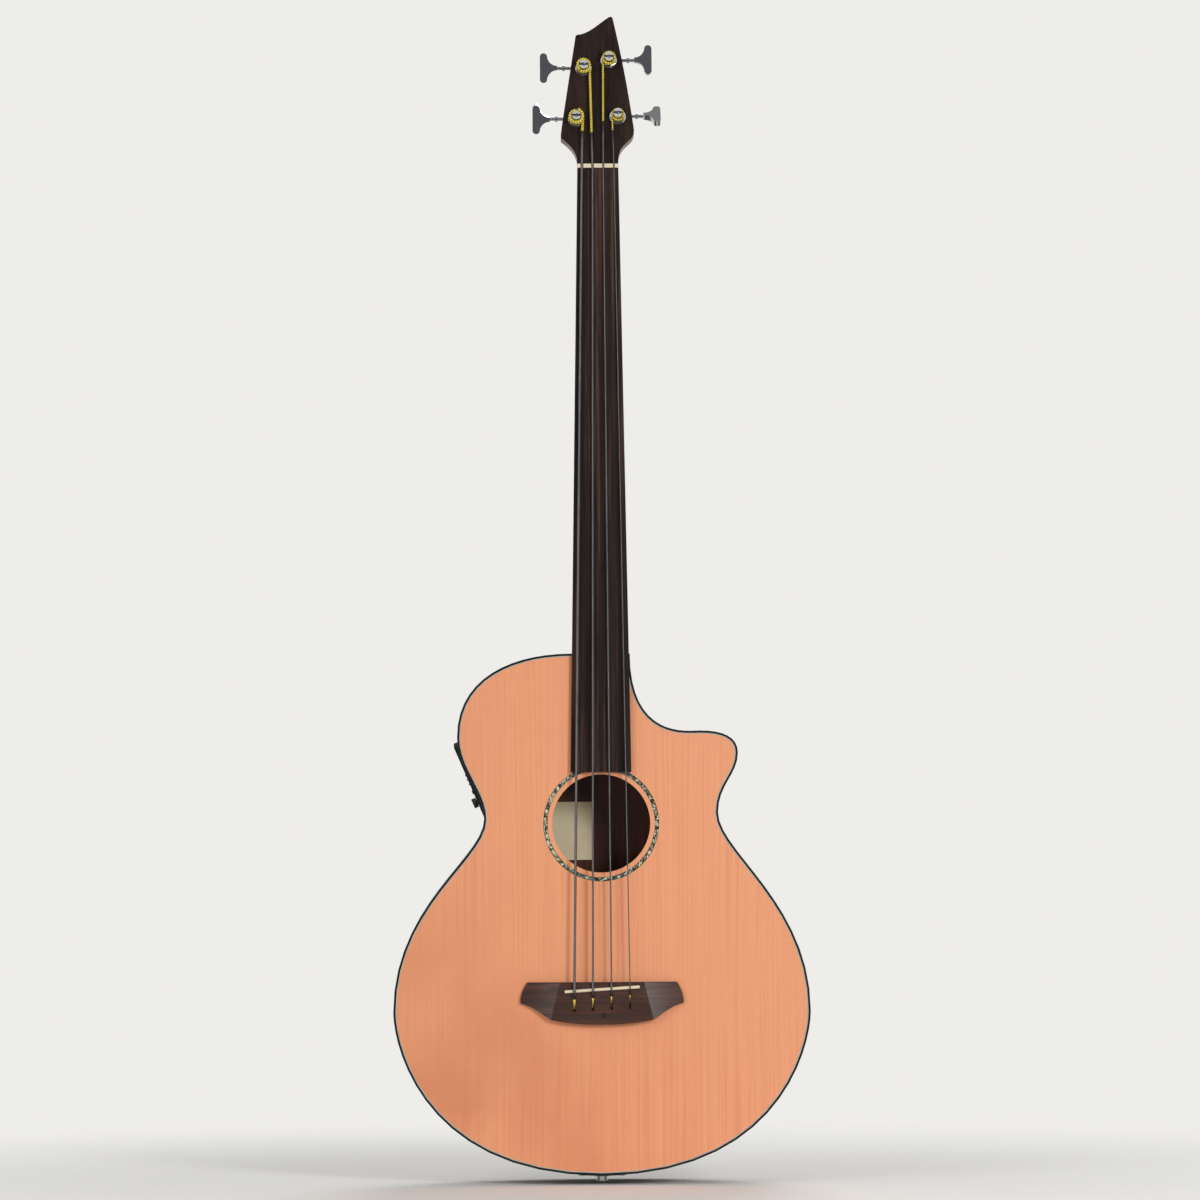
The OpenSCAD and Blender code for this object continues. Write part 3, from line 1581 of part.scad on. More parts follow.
soundboard();
back_plate();
sides();
neck_block();
tail_block();
linings();
top_braces();
bridge_plate();
back_braces();
rosette();
purfling();
top_binding();
back_binding();
neck();
headplate();
fingerboard();
nut();
truss_rod();
truss_rod_nut();
neck_bolts();
heel_cap();
inlay_dots();
bridge();
saddle();
saddle_pickup();
string_wire(0);  // string_e
string_wire(1);  // string_a
string_wire(2);  // string_d
string_wire(3);  // string_g
tuner_plate(0);  // tuner_plate_e
tuner_plate(1);  // tuner_plate_a
tuner_plate(2);  // tuner_plate_d
tuner_plate(3);  // tuner_plate_g
tuner_key(0);  // tuner_key_e
tuner_key(1);  // tuner_key_a
tuner_key(2);  // tuner_key_d
tuner_key(3);  // tuner_key_g
tuner_gear(0);  // tuner_gear_e
tuner_gear(1);  // tuner_gear_a
tuner_gear(2);  // tuner_gear_d
tuner_gear(3);  // tuner_gear_g
tuner_post(0);  // tuner_post_e
tuner_post(1);  // tuner_post_a
tuner_post(2);  // tuner_post_d
tuner_post(3);  // tuner_post_g
tuner_bushings();
wood_screws();
preamp_panel();
preamp_housing();
volume_knob();
tone_slider(slider_at[0]);  // bass_slider
tone_slider(slider_at[1]);  // middle_slider
tone_slider(slider_at[2]);  // treble_slider
phase_button();
battery_door();
battery();
inner_lead();
jack_plate();
output_jack();
heel_strap_button();
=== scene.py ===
import json
import math

import bpy
import numpy as np
from mathutils import Matrix, Vector


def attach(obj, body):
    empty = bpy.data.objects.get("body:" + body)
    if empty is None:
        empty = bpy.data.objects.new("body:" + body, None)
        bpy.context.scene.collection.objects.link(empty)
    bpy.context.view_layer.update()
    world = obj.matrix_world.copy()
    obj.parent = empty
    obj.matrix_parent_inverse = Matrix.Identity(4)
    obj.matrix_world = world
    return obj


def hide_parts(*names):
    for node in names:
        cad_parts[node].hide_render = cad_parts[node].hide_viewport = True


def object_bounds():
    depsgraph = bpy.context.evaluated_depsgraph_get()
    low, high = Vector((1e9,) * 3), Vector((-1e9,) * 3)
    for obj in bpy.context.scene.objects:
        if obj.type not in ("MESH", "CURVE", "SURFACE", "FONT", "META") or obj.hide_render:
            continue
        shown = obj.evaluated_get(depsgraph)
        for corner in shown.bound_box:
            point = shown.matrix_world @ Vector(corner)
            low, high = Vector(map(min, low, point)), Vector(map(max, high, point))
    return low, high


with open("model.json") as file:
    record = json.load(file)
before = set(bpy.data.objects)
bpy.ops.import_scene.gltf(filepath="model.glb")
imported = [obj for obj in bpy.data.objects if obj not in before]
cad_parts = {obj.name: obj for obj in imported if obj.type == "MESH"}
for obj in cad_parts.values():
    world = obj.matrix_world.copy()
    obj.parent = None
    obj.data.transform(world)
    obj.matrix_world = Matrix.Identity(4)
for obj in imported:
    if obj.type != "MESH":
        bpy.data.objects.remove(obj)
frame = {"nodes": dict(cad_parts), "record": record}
cad_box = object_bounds()
scene = bpy.context.scene
MM = 0.001

# Sizes that part.scad also holds, in millimetres. Rows of four start with the lowest string.
STRINGS = ("e", "a", "d", "g")
STRING_D = (2.7, 2.2, 1.7, 1.2)
SILK_D = 0.5
NUT_SPREAD = 33.8
SADDLE_SPREAD = 58.5
NUT_ACTION = 0.9
BOARD_T = 6.5
# The saddle's crown, which the strings bend over: radius, height, place and slope across.
CROWN_R = 1.65
CROWN_Y = -10.35
SADDLE_Z = -865.2
SADDLE_SLOPE = 0.0615
# Behind the crown the strings dive at this angle to their balls, which lie at this depth.
DIVE_ANGLE = math.radians(32)
BALL_Y = 9.16
BALL_R = 2.9
# The headstock's own frame starts behind the nut and leans back by the tilt.
FACE_Y = -2.2
NUT_T = 4.4
TILT = math.radians(12)
# Posts on the headstock, and the string on each: where its silk starts, how often and which
# way round it is wound, and how far over the face the winding begins.
POST_X = (-22.4, -14.2, 12.6, 21.5)
POST_Z = (49.4, 105.8, 114.4, 52.1)
POST_R = 4.8
SILK_FROM = (35, 33, 46, 36)
TURNS = (2.162, 2.6, 2.6, 2.6)
SIDE = (-1, -1, 1, 1)
WIND_FROM = 3.8
# Clearances: string to crown, loops to post, loop to loop.
STRING_GAP = 0.06
POST_GAP = 0.3
LOOP_GAP = 0.5
# The back's inner face: depth at the neck end of the body, that end's place, lean, radius of
# the arch, and the back's thickness with a little room for the label.
BACK_DEPTH = 100
BODY_START = 506
BACK_LEAN = math.radians(1.77)
BACK_ARCH = 2400
BACK_T = 3.2

# Places on the soundboard, in metres: the shell ring round the soundhole, and the seam.
RING_IN = 0.0566
RING_OUT = 0.0610
RING_Z = -0.691
SEAM_X = 0.0006


# ---------------------------------------------------------------- materials

class Nodes:
    """A material's node tree with short calls for the few nodes used here."""

    def __init__(self, name):
        self.mat = bpy.data.materials.new(name)
        self.mat.use_nodes = True
        self.tree = self.mat.node_tree
        self.shader = self.tree.nodes["Principled BSDF"]
        self.coord = self.add("ShaderNodeTexCoord")
        self.place = self.coord.outputs["Object"]

    def add(self, kind, **props):
        node = self.tree.nodes.new(kind)
        for key, value in props.items():
            setattr(node, key, value)
        return node

    def put(self, socket, value):
        if isinstance(value, bpy.types.NodeSocket):
            self.tree.links.new(value, socket)
        else:
            socket.default_value = value

    def math(self, op, a, b=0.0, clamp=False):
        node = self.add("ShaderNodeMath", operation=op, use_clamp=clamp)
        self.put(node.inputs[0], a)
        self.put(node.inputs[1], b)
        return node.outputs[0]

    def split(self, vector):
        node = self.add("ShaderNodeSeparateXYZ")
        self.put(node.inputs[0], vector)
        return node.outputs

    def join(self, *parts):
        node = self.add("ShaderNodeCombineXYZ")
        for socket, part in zip(node.inputs, parts):
            self.put(socket, part)
        return node.outputs[0]

    def scaled(self, size, offset=(0, 0, 0), source=None):
        """The piece's own coordinates, stretched: size is in cycles per metre along each axis."""
        node = self.add("ShaderNodeMapping")
        self.put(node.inputs["Vector"], source or self.place)
        node.inputs["Scale"].default_value = size
        node.inputs["Location"].default_value = offset
        return node.outputs[0]

    def noise(self, vector, detail=2.0, rough=0.5, bend=0.0):
        node = self.add("ShaderNodeTexNoise")
        self.put(node.inputs["Vector"], vector)
        node.inputs["Scale"].default_value = 1.0
        node.inputs["Detail"].default_value = detail
        node.inputs["Roughness"].default_value = rough
        node.inputs["Distortion"].default_value = bend
        return node.outputs["Fac"]

    def ramp(self, value, stops):
        node = self.add("ShaderNodeValToRGB")
        elements = node.color_ramp.elements
        while len(elements) < len(stops):
            elements.new(0.5)
        for element, (at, colour) in zip(elements, stops):
            element.position = at
            element.color = (*colour, 1)
        self.put(node.inputs[0], value)
        return node.outputs[0]

    def mix(self, amount, a, b, how="MIX"):
        node = self.add("ShaderNodeMix", data_type="RGBA", blend_type=how)
        self.put(node.inputs[0], amount)
        self.put(node.inputs[6], (*a, 1) if isinstance(a, tuple) else a)
        self.put(node.inputs[7], (*b, 1) if isinstance(b, tuple) else b)
        return node.outputs[2]

    def range(self, value, low, high, out_low, out_high):
        node = self.add("ShaderNodeMapRange")
        self.put(node.inputs["Value"], value)
        for key, number in zip(("From Min", "From Max", "To Min", "To Max"),
                               (low, high, out_low, out_high)):
            node.inputs[key].default_value = number
        return node.outputs[0]

    def bump(self, height, strength, distance):
        node = self.add("ShaderNodeBump")
        node.inputs["Strength"].default_value = strength
        node.inputs["Distance"].default_value = distance
        self.put(node.inputs["Height"], height)
        self.put(self.shader.inputs["Normal"], node.outputs[0])

    def set(self, **values):
        for key, value in values.items():
            name = key.replace("_", " ")
            if isinstance(value, tuple) and len(value) == 3:
                value = (*value, 1)
            self.put(self.shader.inputs[name], value)


def srgb(r, g, b):
    """A colour as a screen shows it, 0 to 255, in the linear values that shaders take."""
    return tuple(
        v / 12.92 if v <= 0.04045 else ((v + 0.055) / 1.055) ** 2.4
        for v in (r / 255, g / 255, b / 255)
    )


PALE = srgb(238, 237, 234)


def cedar():
    """Two matched halves of cedar: fine lines, wide bands and cross silk, with painted shade that
    deepens low down and to the left.
    """
    m = Nodes("cedar_top")
    x, y, z = m.split(m.place)
    warp = m.noise(m.scaled((9, 0, 2.2)), detail=3)
    shift = m.math("MULTIPLY", m.math("SUBTRACT", warp, 0.5), 0.012)
    across = m.join(m.math("ADD", m.math("ABSOLUTE", x), shift), y, z)
    lines = m.noise(m.scaled((620, 30, 3.5), source=across), detail=3, rough=0.55)
    fine = m.noise(m.scaled((2600, 60, 60), source=across), detail=2)
    wide = m.noise(m.scaled((38, 4, 1.1), (3, 0, 0), across), detail=3, rough=0.6)
    silk = m.noise(m.scaled((90, 20, 480), source=across), detail=2)
    cloud = m.noise(m.scaled((7, 4, 3)), detail=2)
    base = m.ramp(lines, [
        (0.30, srgb(222, 143, 98)), (0.47, srgb(232, 154, 109)), (0.66, srgb(237, 161, 116)),
    ])
    tone = m.ramp(wide, [
        (0.3, srgb(222, 170, 140)), (0.46, (1, 1, 1)), (0.7, srgb(255, 242, 234)),
    ])
    colour = m.mix(0.4, base, tone, "MULTIPLY")
    colour = m.mix(m.range(fine, 0.4, 0.75, 0, 0.13), colour, srgb(196, 126, 84))
    colour = m.mix(m.range(silk, 0.55, 0.75, 0, 0.12), colour, srgb(250, 200, 162))
    colour = m.mix(m.range(cloud, 0.4, 0.7, 0, 0.2), colour, srgb(236, 158, 112))
    # Painted shade: the colour darkens towards the bottom and the left, more on the left half of
    # the seam, in noisy patches.
    side = m.range(x, -0.2, 0.14, 0.85, 0.15)
    low = m.range(z, -0.72, -1.0, 0.2, 1.0)
    patch = m.range(m.noise(m.scaled((11, 4, 7), (5, 0, 2)), detail=3), 0.35, 0.65, 0.3, 1.0)
    seam = m.math("MULTIPLY", m.math("LESS_THAN", x, SEAM_X), 0.16)
    painted_shade = m.math("MULTIPLY", m.math("MULTIPLY", m.math("ADD", side, seam), low), patch)
    colour = m.mix(painted_shade, colour, srgb(206, 126, 84))
    m.set(Base_Color=colour, Roughness=m.range(lines, 0.3, 0.7, 0.5, 0.42),
          Coat_Weight=0.12, Coat_Roughness=0.35)
    m.bump(lines, 0.1, 0.00015)
    return m.mat


def stretched(size, along, across):
    """A size whose smallest number, along the grain, is scaled apart from the other two."""
    return tuple(v * (along if v == min(size) else across) for v in size)


def streaked(name, dark, mid, light, size, rough, pores=0.35, coat=0.0, mirror=False,
             shine=0.3, broad_by=0.12, inside=None):
    """A wood whose streaks run along the axis with the fewest cycles per metre in size.

    A mirrored wood is the same on both sides of the centre line. The pair of colours given
    as inside is for faces that look forward.
    """
    m = Nodes(name)
    source = m.place
    if mirror:
        x, y, z = m.split(source)
        source = m.join(m.math("ABSOLUTE", x), y, z)
    wide = stretched(size, 0.6, broad_by)
    tight = stretched(size, 7, 4.5)
    broad = m.noise(m.scaled(wide, source=source), detail=4, rough=0.6, bend=0.4)
    lines = m.noise(m.scaled(size, (2, 5, 1), source), detail=3, rough=0.6)
    pore = m.noise(m.scaled(tight, source=source), detail=2, rough=0.7)
    blend = m.math("ADD", m.math("MULTIPLY", broad, 0.6), m.math("MULTIPLY", lines, 0.4))
    colour = m.ramp(blend, [(0.36, dark), (0.5, mid), (0.66, light)])
    colour = m.mix(m.range(pore, 0.56, 0.68, 0, pores), colour, tuple(v * 0.35 for v in dark))
    if inside:
        facing = m.split(m.coord.outputs["Normal"])[1]
        front = m.math("LESS_THAN", facing, -0.8)
        colour = m.mix(front, colour, m.ramp(blend, [(0.36, inside[0]), (0.62, inside[1])]))
    m.set(Base_Color=colour, Roughness=m.range(lines, 0.3, 0.7, rough + 0.07, rough - 0.05),
          Coat_Weight=coat, Coat_Roughness=0.12, Specular_IOR_Level=shine)
    m.bump(m.math("SUBTRACT", lines, m.math("MULTIPLY", pore, 0.6)), 0.25, 0.00012)
    return m.mat


def plain(name, colour, rough, speck=0.08, scale=900, metal=0.0, bump=0.08, **more):
    """Plastic, bone or metal with the slight unevenness of a real surface."""
    m = Nodes(name)
    fine = m.noise(m.scaled((scale,) * 3), detail=3)
    slow = m.noise(m.scaled((scale * 0.06,) * 3), detail=2)
    darker = tuple(v * (1 - speck * 2) for v in colour)
    shade = m.mix(m.range(slow, 0.35, 0.65, 0, 1), colour, darker)
    m.set(Base_Color=shade, Metallic=metal,
          Roughness=m.range(fine, 0.3, 0.7, rough * 0.85, rough * 1.15), **more)
    if bump:
        m.bump(fine, bump, 0.00005)
    return m.mat


def abalone():
    """Chips of shell laid round the ring, with gaps between lengths and a dark line each side."""
    m = Nodes("abalone")
    x, _, z = m.split(m.place)
    z = m.math("ADD", z, -RING_Z)
    angle = m.math("ARCTAN2", z, x)
    radius = m.math("SQRT", m.math("ADD", m.math("MULTIPLY", x, x), m.math("MULTIPLY", z, z)))
    polar = m.join(m.math("ADD", angle, m.math("MULTIPLY", radius, 9)), radius)
    cell = m.add("ShaderNodeTexVoronoi", feature="F1")
    m.put(cell.inputs["Vector"], m.scaled((24, 520, 0), source=polar))
    cell.inputs["Scale"].default_value = 1.0
    tint = m.add("ShaderNodeSeparateColor")
    m.put(tint.inputs[0], cell.outputs["Color"])
    wavy = m.noise(m.scaled((420, 420, 420)), detail=4, rough=0.7, bend=1.6)
    chips = m.math("ADD", m.math("MULTIPLY", wavy, 0.45),
                   m.math("MULTIPLY", tint.outputs[0], 0.62))
    colour = m.ramp(chips, [
        (0.26, srgb(22, 25, 23)), (0.36, srgb(58, 68, 60)), (0.44, srgb(128, 142, 118)),
        (0.52, srgb(66, 84, 90)), (0.58, srgb(52, 58, 48)), (0.66, srgb(196, 204, 168)),
        (0.74, srgb(250, 252, 232)), (0.84, srgb(150, 138, 78)),
    ])
    gap = m.math("LESS_THAN", m.math("FRACT", m.math("MULTIPLY", angle, 4.2)), 0.035)
    colour = m.mix(gap, colour, srgb(30, 28, 24))
    rim = m.math("ADD", m.math("GREATER_THAN", radius, RING_OUT - 0.0005),
                 m.math("LESS_THAN", radius, RING_IN + 0.0004), clamp=True)
    colour = m.mix(rim, colour, srgb(40, 34, 30))
    m.set(Base_Color=colour, Metallic=0.15, Roughness=0.22, Coat_Weight=0.6, Coat_Roughness=0.05)
    m.bump(wavy, 0.2, 0.0001)
    return m.mat


def wound(name, light, dark, pitch, rough, metal):
    """Wire or thread wound round a core: u runs along the string in metres, v round it."""
    m = Nodes(name)
    along, turn, _ = m.split(m.coord.outputs["UV"])
    phase = m.math("FRACT", m.math("ADD", m.math("MULTIPLY", along, 1 / pitch), turn))
    hump = m.math("SINE", m.math("MULTIPLY", phase, math.pi))
    uneven = m.noise(m.scaled((400, 400, 60)), detail=3)
    # Each turn's crest is painted lighter and the groove between turns painted darker: a painted
    # highlight and painted shade.
    colour = m.mix(hump, dark, light)
    colour = m.mix(m.range(uneven, 0.35, 0.7, 0, 0.35), colour, dark)
    m.set(Base_Color=colour, Metallic=metal, Roughness=rough)
    m.bump(hump, 0.7, pitch * 0.25)
    return m.mat


def inlay():
    """Pale dots on the fingerboard's edge, and the dark plug in the bridge far below them."""
    m = Nodes("inlay_shell")
    swirl = m.noise(m.scaled((1400, 1400, 900)), detail=3, bend=1.5)
    white = m.ramp(swirl, [(0.35, srgb(214, 212, 200)), (0.65, srgb(238, 236, 226))])
    grey = m.ramp(swirl, [(0.35, srgb(30, 24, 22)), (0.65, srgb(46, 38, 35))])
    low = m.math("LESS_THAN", m.split(m.place)[2], -0.8)
    m.set(Base_Color=m.mix(low, white, grey), Roughness=0.25, Coat_Weight=0.3)
    return m.mat


def paper():
    m = Nodes("label_paper")
    fibre = m.noise(m.scaled((500, 500, 900)), detail=4)
    stain = m.noise(m.scaled((22, 22, 22)), detail=3)
    colour = m.ramp(stain, [(0.35, srgb(246, 222, 172)), (0.6, srgb(252, 236, 200))])
    colour = m.mix(m.range(fibre, 0.5, 0.7, 0, 0.12), colour, srgb(188, 164, 120))
    m.set(Base_Color=colour, Roughness=0.8)
    m.bump(fibre, 0.2, 0.00008)
    return m.mat


# The materials of the record's slots.
MATS = {
    "top_wood": cedar(),
    "side_wood": streaked("side_rosewood", srgb(33, 20, 15), srgb(58, 35, 25), srgb(88, 56, 38),
                          (14, 420, 14), 0.34, coat=0.25),
    "neck_wood": streaked("mahogany", srgb(78, 34, 20), srgb(108, 52, 32), srgb(134, 70, 44),
                          (420, 420, 9), 0.36, pores=0.5, coat=0.25),
    "inner_wood": streaked("spruce_inside", srgb(150, 108, 70), srgb(186, 142, 98),
                           srgb(208, 168, 122), (300, 300, 12), 0.7, pores=0.15),
    "dark_wood": streaked("rosewood", srgb(20, 12, 9), srgb(38, 24, 19), srgb(58, 39, 31),
                          (420, 160, 5), 0.5, pores=0.5, shine=0.15),
    "binding": plain("binding_black", srgb(24, 24, 25), 0.3, bump=0.04, Specular_IOR_Level=0.3),
    "light_line": plain("purfling_grey", srgb(178, 171, 160), 0.4, bump=0.04),
    "shell": abalone(),
    "bone": plain("bone", srgb(228, 214, 184), 0.35, speck=0.05, scale=600,
                  Subsurface_Weight=0.15, Subsurface_Scale=0.002),
    "steel": plain("steel", srgb(168, 170, 172), 0.24, metal=1.0, scale=2500),
    "brass": plain("brass", srgb(198, 172, 122), 0.3, metal=1.0),
    "chrome": plain("chrome", srgb(206, 208, 210), 0.07, speck=0.02, metal=1.0, bump=0.0),
    "string_steel": wound("string_winding", srgb(128, 128, 130), srgb(66, 66, 68), 0.00042,
                          0.38, 1.0),
    "black_plastic": plain("black_plastic", srgb(24, 24, 25), 0.38, scale=2200, bump=0.12),
    "grey_plastic": plain("grey_plastic", srgb(120, 122, 124), 0.4, scale=2200, bump=0.1),
    "battery_case": plain("battery_case", srgb(46, 48, 52), 0.3, bump=0.03),
    "cable": plain("cable_black", srgb(22, 22, 24), 0.5, bump=0.05),
}
# Nodes that differ from the others in their slot.
OWN_LOOK = {
    "back_plate": streaked("back_rosewood", srgb(36, 21, 15), srgb(62, 37, 25),
                           srgb(95, 60, 39), (260, 30, 6), 0.32, coat=0.35, mirror=True,
                           inside=(srgb(64, 34, 22), srgb(110, 62, 40))),
    "fingerboard": streaked("board_rosewood", srgb(16, 10, 8), srgb(40, 28, 23),
                            srgb(96, 70, 58), (260, 160, 4), 0.5, pores=0.6, broad_by=0.32,
                            shine=0.12),
    "bridge": streaked("bridge_rosewood", srgb(36, 19, 12), srgb(66, 37, 26),
                       srgb(98, 60, 43), (7, 160, 420), 0.34, pores=0.6, shine=0.5),
    "inlay_dots": inlay(),
}
# Pitch of the silk's thread, in metres.
SILK_PITCH = 0.0026
SILK = wound("gold_silk", srgb(252, 230, 84), srgb(112, 84, 16), SILK_PITCH, 0.6, 0.0)
# The silk at the ball ends in a lighter copy of the gold silk: painted light that makes up for the
# shade it lies in at the bridge.
BALL_SILK_PAINTED_LIGHT = wound("gold_silk_painted_light", srgb(255, 232, 120), srgb(226, 176, 60), SILK_PITCH, 0.45, 0.0)


# ---------------------------------------------------------------- CAD nodes kept

# Widths of the rounded edges, in metres.
BEVELS = {
    "soundboard": 0.0, "purfling": 0.0, "top_binding": 0.0005, "back_binding": 0.0005,
    "sides": 0.0, "back_plate": 0.0003, "fingerboard": 0.0006, "headplate": 0.0004,
    "nut": 0.0004, "saddle": 0.0004, "bridge": 0.0006, "heel_cap": 0.0006, "rosette": 0.0,
    "tuner_bushings": 0.0004, "jack_plate": 0.0006, "preamp_panel": 0.0003,
    "volume_knob": 0.0003, "battery": 0.0008, "linings": 0.0003, "inlay_dots": 0.0,
}
TUNER_KEY_BEVEL = 0.001
TUNER_BEVEL = 0.0003
OTHER_BEVEL = 0.0002
LEAST_BEVEL = 0.00002
# A bevel wider than these has two segments, or three.
TWO_SEGMENTS = 0.0001
THREE_SEGMENTS = 0.0008

# Edges that bend by more degrees than this are rounded. The bridge's wings bend by less.
EDGE_ANGLE = 32
EDGE_ANGLES = {"bridge": 9}
# Triangles that lie within this many degrees of one plane are joined, except on a face with
# so many cut-outs that it would shade badly as one polygon.
FLAT_ANGLE = 0.4
KEEP_TRIANGLES = {"preamp_panel"}
WELD_GAP = 0.00001


def bevel_width(node):
    if node in BEVELS:
        return BEVELS[node]
    if node.startswith("tuner_key"):
        return TUNER_KEY_BEVEL
    return TUNER_BEVEL if node.startswith("tuner_") else OTHER_BEVEL


def round_edges(node, obj):
    mesh = obj.data
    if "custom_normal" in mesh.attributes:
        mesh.attributes.remove(mesh.attributes["custom_normal"])
    mesh.polygons.foreach_set("use_smooth", [True] * len(mesh.polygons))
    weld = obj.modifiers.new("weld", "WELD")
    weld.merge_threshold = WELD_GAP
    if node not in KEEP_TRIANGLES:
        flat = obj.modifiers.new("flat", "DECIMATE")
        flat.decimate_type = "DISSOLVE"
        flat.angle_limit = math.radians(FLAT_ANGLE)
    width = bevel_width(node)
    bevel = obj.modifiers.new("edges", "BEVEL")
    bevel.width = max(width, LEAST_BEVEL)
    bevel.segments = 1 + (width > TWO_SEGMENTS) + (width > THREE_SEGMENTS)
    bevel.limit_method = "ANGLE"
    bevel.angle_limit = math.radians(EDGE_ANGLES.get(node, EDGE_ANGLE))
    bevel.miter_outer = "MITER_ARC"
    fair = obj.modifiers.new("fair", "WEIGHTED_NORMAL")
    fair.mode = "FACE_AREA"
    fair.weight = 90
    fair.keep_sharp = True


slot_of = {row["node"]: row["material_slot"] for row in frame["record"]["subparts"]}

for node, obj in frame["nodes"].items():
    obj.data.materials.clear()
    obj.data.materials.append(OWN_LOOK.get(node, MATS[slot_of[node]]))
    round_edges(node, obj)


# ---------------------------------------------------------------- pieces made here

def new_piece(name, verts, faces, material, uvs=None, smooth=True):
    mesh = bpy.data.meshes.new(name)
    mesh.from_pydata([tuple(v) for v in verts], [], faces)
    if uvs is not None:
        layer = mesh.uv_layers.new(name="uv")
        layer.data.foreach_set("uv", np.array(uvs, float).ravel())
    mesh.materials.append(material)
    mesh.polygons.foreach_set("use_smooth", [smooth] * len(mesh.polygons))
    mesh.update()
    obj = bpy.data.objects.new(name, mesh)
    scene.collection.objects.link(obj)
    return obj


def smooth_path(points, step):
    """A Catmull-Rom curve through the points, cut into pieces of about the step."""
    p = np.array(points, float)
    p = np.vstack([2 * p[0] - p[1], p, 2 * p[-1] - p[-2]])
    out = []
    for i in range(1, len(p) - 2):
        n = max(1, int(round(np.linalg.norm(p[i + 1] - p[i]) / step)))
        for k in range(n):
            t = k / n
            out.append(0.5 * (2 * p[i] + (p[i + 1] - p[i - 1]) * t
                              + (2 * p[i - 1] - 5 * p[i] + 4 * p[i + 1] - p[i + 2]) * t * t
                              + (3 * p[i] - p[i - 1] - 3 * p[i + 1] + p[i + 2]) * t ** 3))
    out.append(p[-2])
    return np.array(out)


# No tube starts along this direction.
ASIDE = (0.3, 0.2, 0.93)


def sweep(name, path, radii, material, sides=14):
    """A closed round tube along a path in metres, with u along it in metres and v round it."""
    path = np.array(path, float)
    n = len(path)
    tangents = np.gradient(path, axis=0)
    tangents /= np.linalg.norm(tangents, axis=1)[:, None]
    normal = np.cross(tangents[0], ASIDE)
    normal /= np.linalg.norm(normal)
    verts, along = [], [0.0]
    for i in range(n):
        normal = normal - tangents[i] * normal.dot(tangents[i])
        normal /= np.linalg.norm(normal)
        side = np.cross(tangents[i], normal)
        if i:
            along.append(along[-1] + np.linalg.norm(path[i] - path[i - 1]))
        for j in range(sides):
            a = 2 * math.pi * j / sides
            verts.append(path[i] + radii[i] * (math.cos(a) * normal + math.sin(a) * side))
    faces, uvs = [], []
    for i in range(n - 1):
        for j in range(sides):
            k = (j + 1) % sides
            faces.append((i * sides + j, i * sides + k, (i + 1) * sides + k, (i + 1) * sides + j))
            v0, v1 = j / sides, (j + 1) / sides
            uvs += [(along[i], v0), (along[i], v1), (along[i + 1], v1), (along[i + 1], v0)]
    faces.append(tuple(range(sides - 1, -1, -1)))
    faces.append(tuple((n - 1) * sides + j for j in range(sides)))
    uvs += [(0, 0)] * (2 * sides)
    return new_piece(name, verts, faces, material, uvs)


def turned(name, profile, centre, material, sides=20):
    """A form turned about the X axis, from pairs of radius and x in millimetres."""
    verts, faces = [], []
    for r, x in profile:
        for j in range(sides):
            a = 2 * math.pi * j / sides
            verts.append((np.array([x, r * math.cos(a), r * math.sin(a)]) + centre) * MM)
    for i in range(len(profile) - 1):
        for j in range(sides):
            k = (j + 1) % sides
            faces.append((i * sides + j, (i + 1) * sides + j, (i + 1) * sides + k, i * sides + k))
    return new_piece(name, verts, faces, material)


def from_headstock(p):
    x, y, z = p
    c, s = math.cos(TILT), math.sin(TILT)
    return np.array([x, FACE_Y + y * c + z * s, NUT_T - y * s + z * c])


def to_headstock(p):
    x, y, z = p[0], p[1] - FACE_Y, p[2] - NUT_T
    c, s = math.cos(TILT), math.sin(TILT)
    return np.array([x, y * c - z * s, y * s + z * c])


# Pieces that a string's bend over the crown, its length and one loop are cut into.
CROWN_STEPS = 6
BOARD_STEPS = 40
LOOP_STEPS = 48
# Ways below the crown, in millimetres: where the silk starts, its next point, and how far the
# steel runs on inside it. At the other end the steel runs on by a share of the way to the post.
SILK_STARTS = 7.9
SILK_NEXT = 8.6
STEEL_RUNS_ON = 1.2
STEEL_SHARE_ON = 0.03


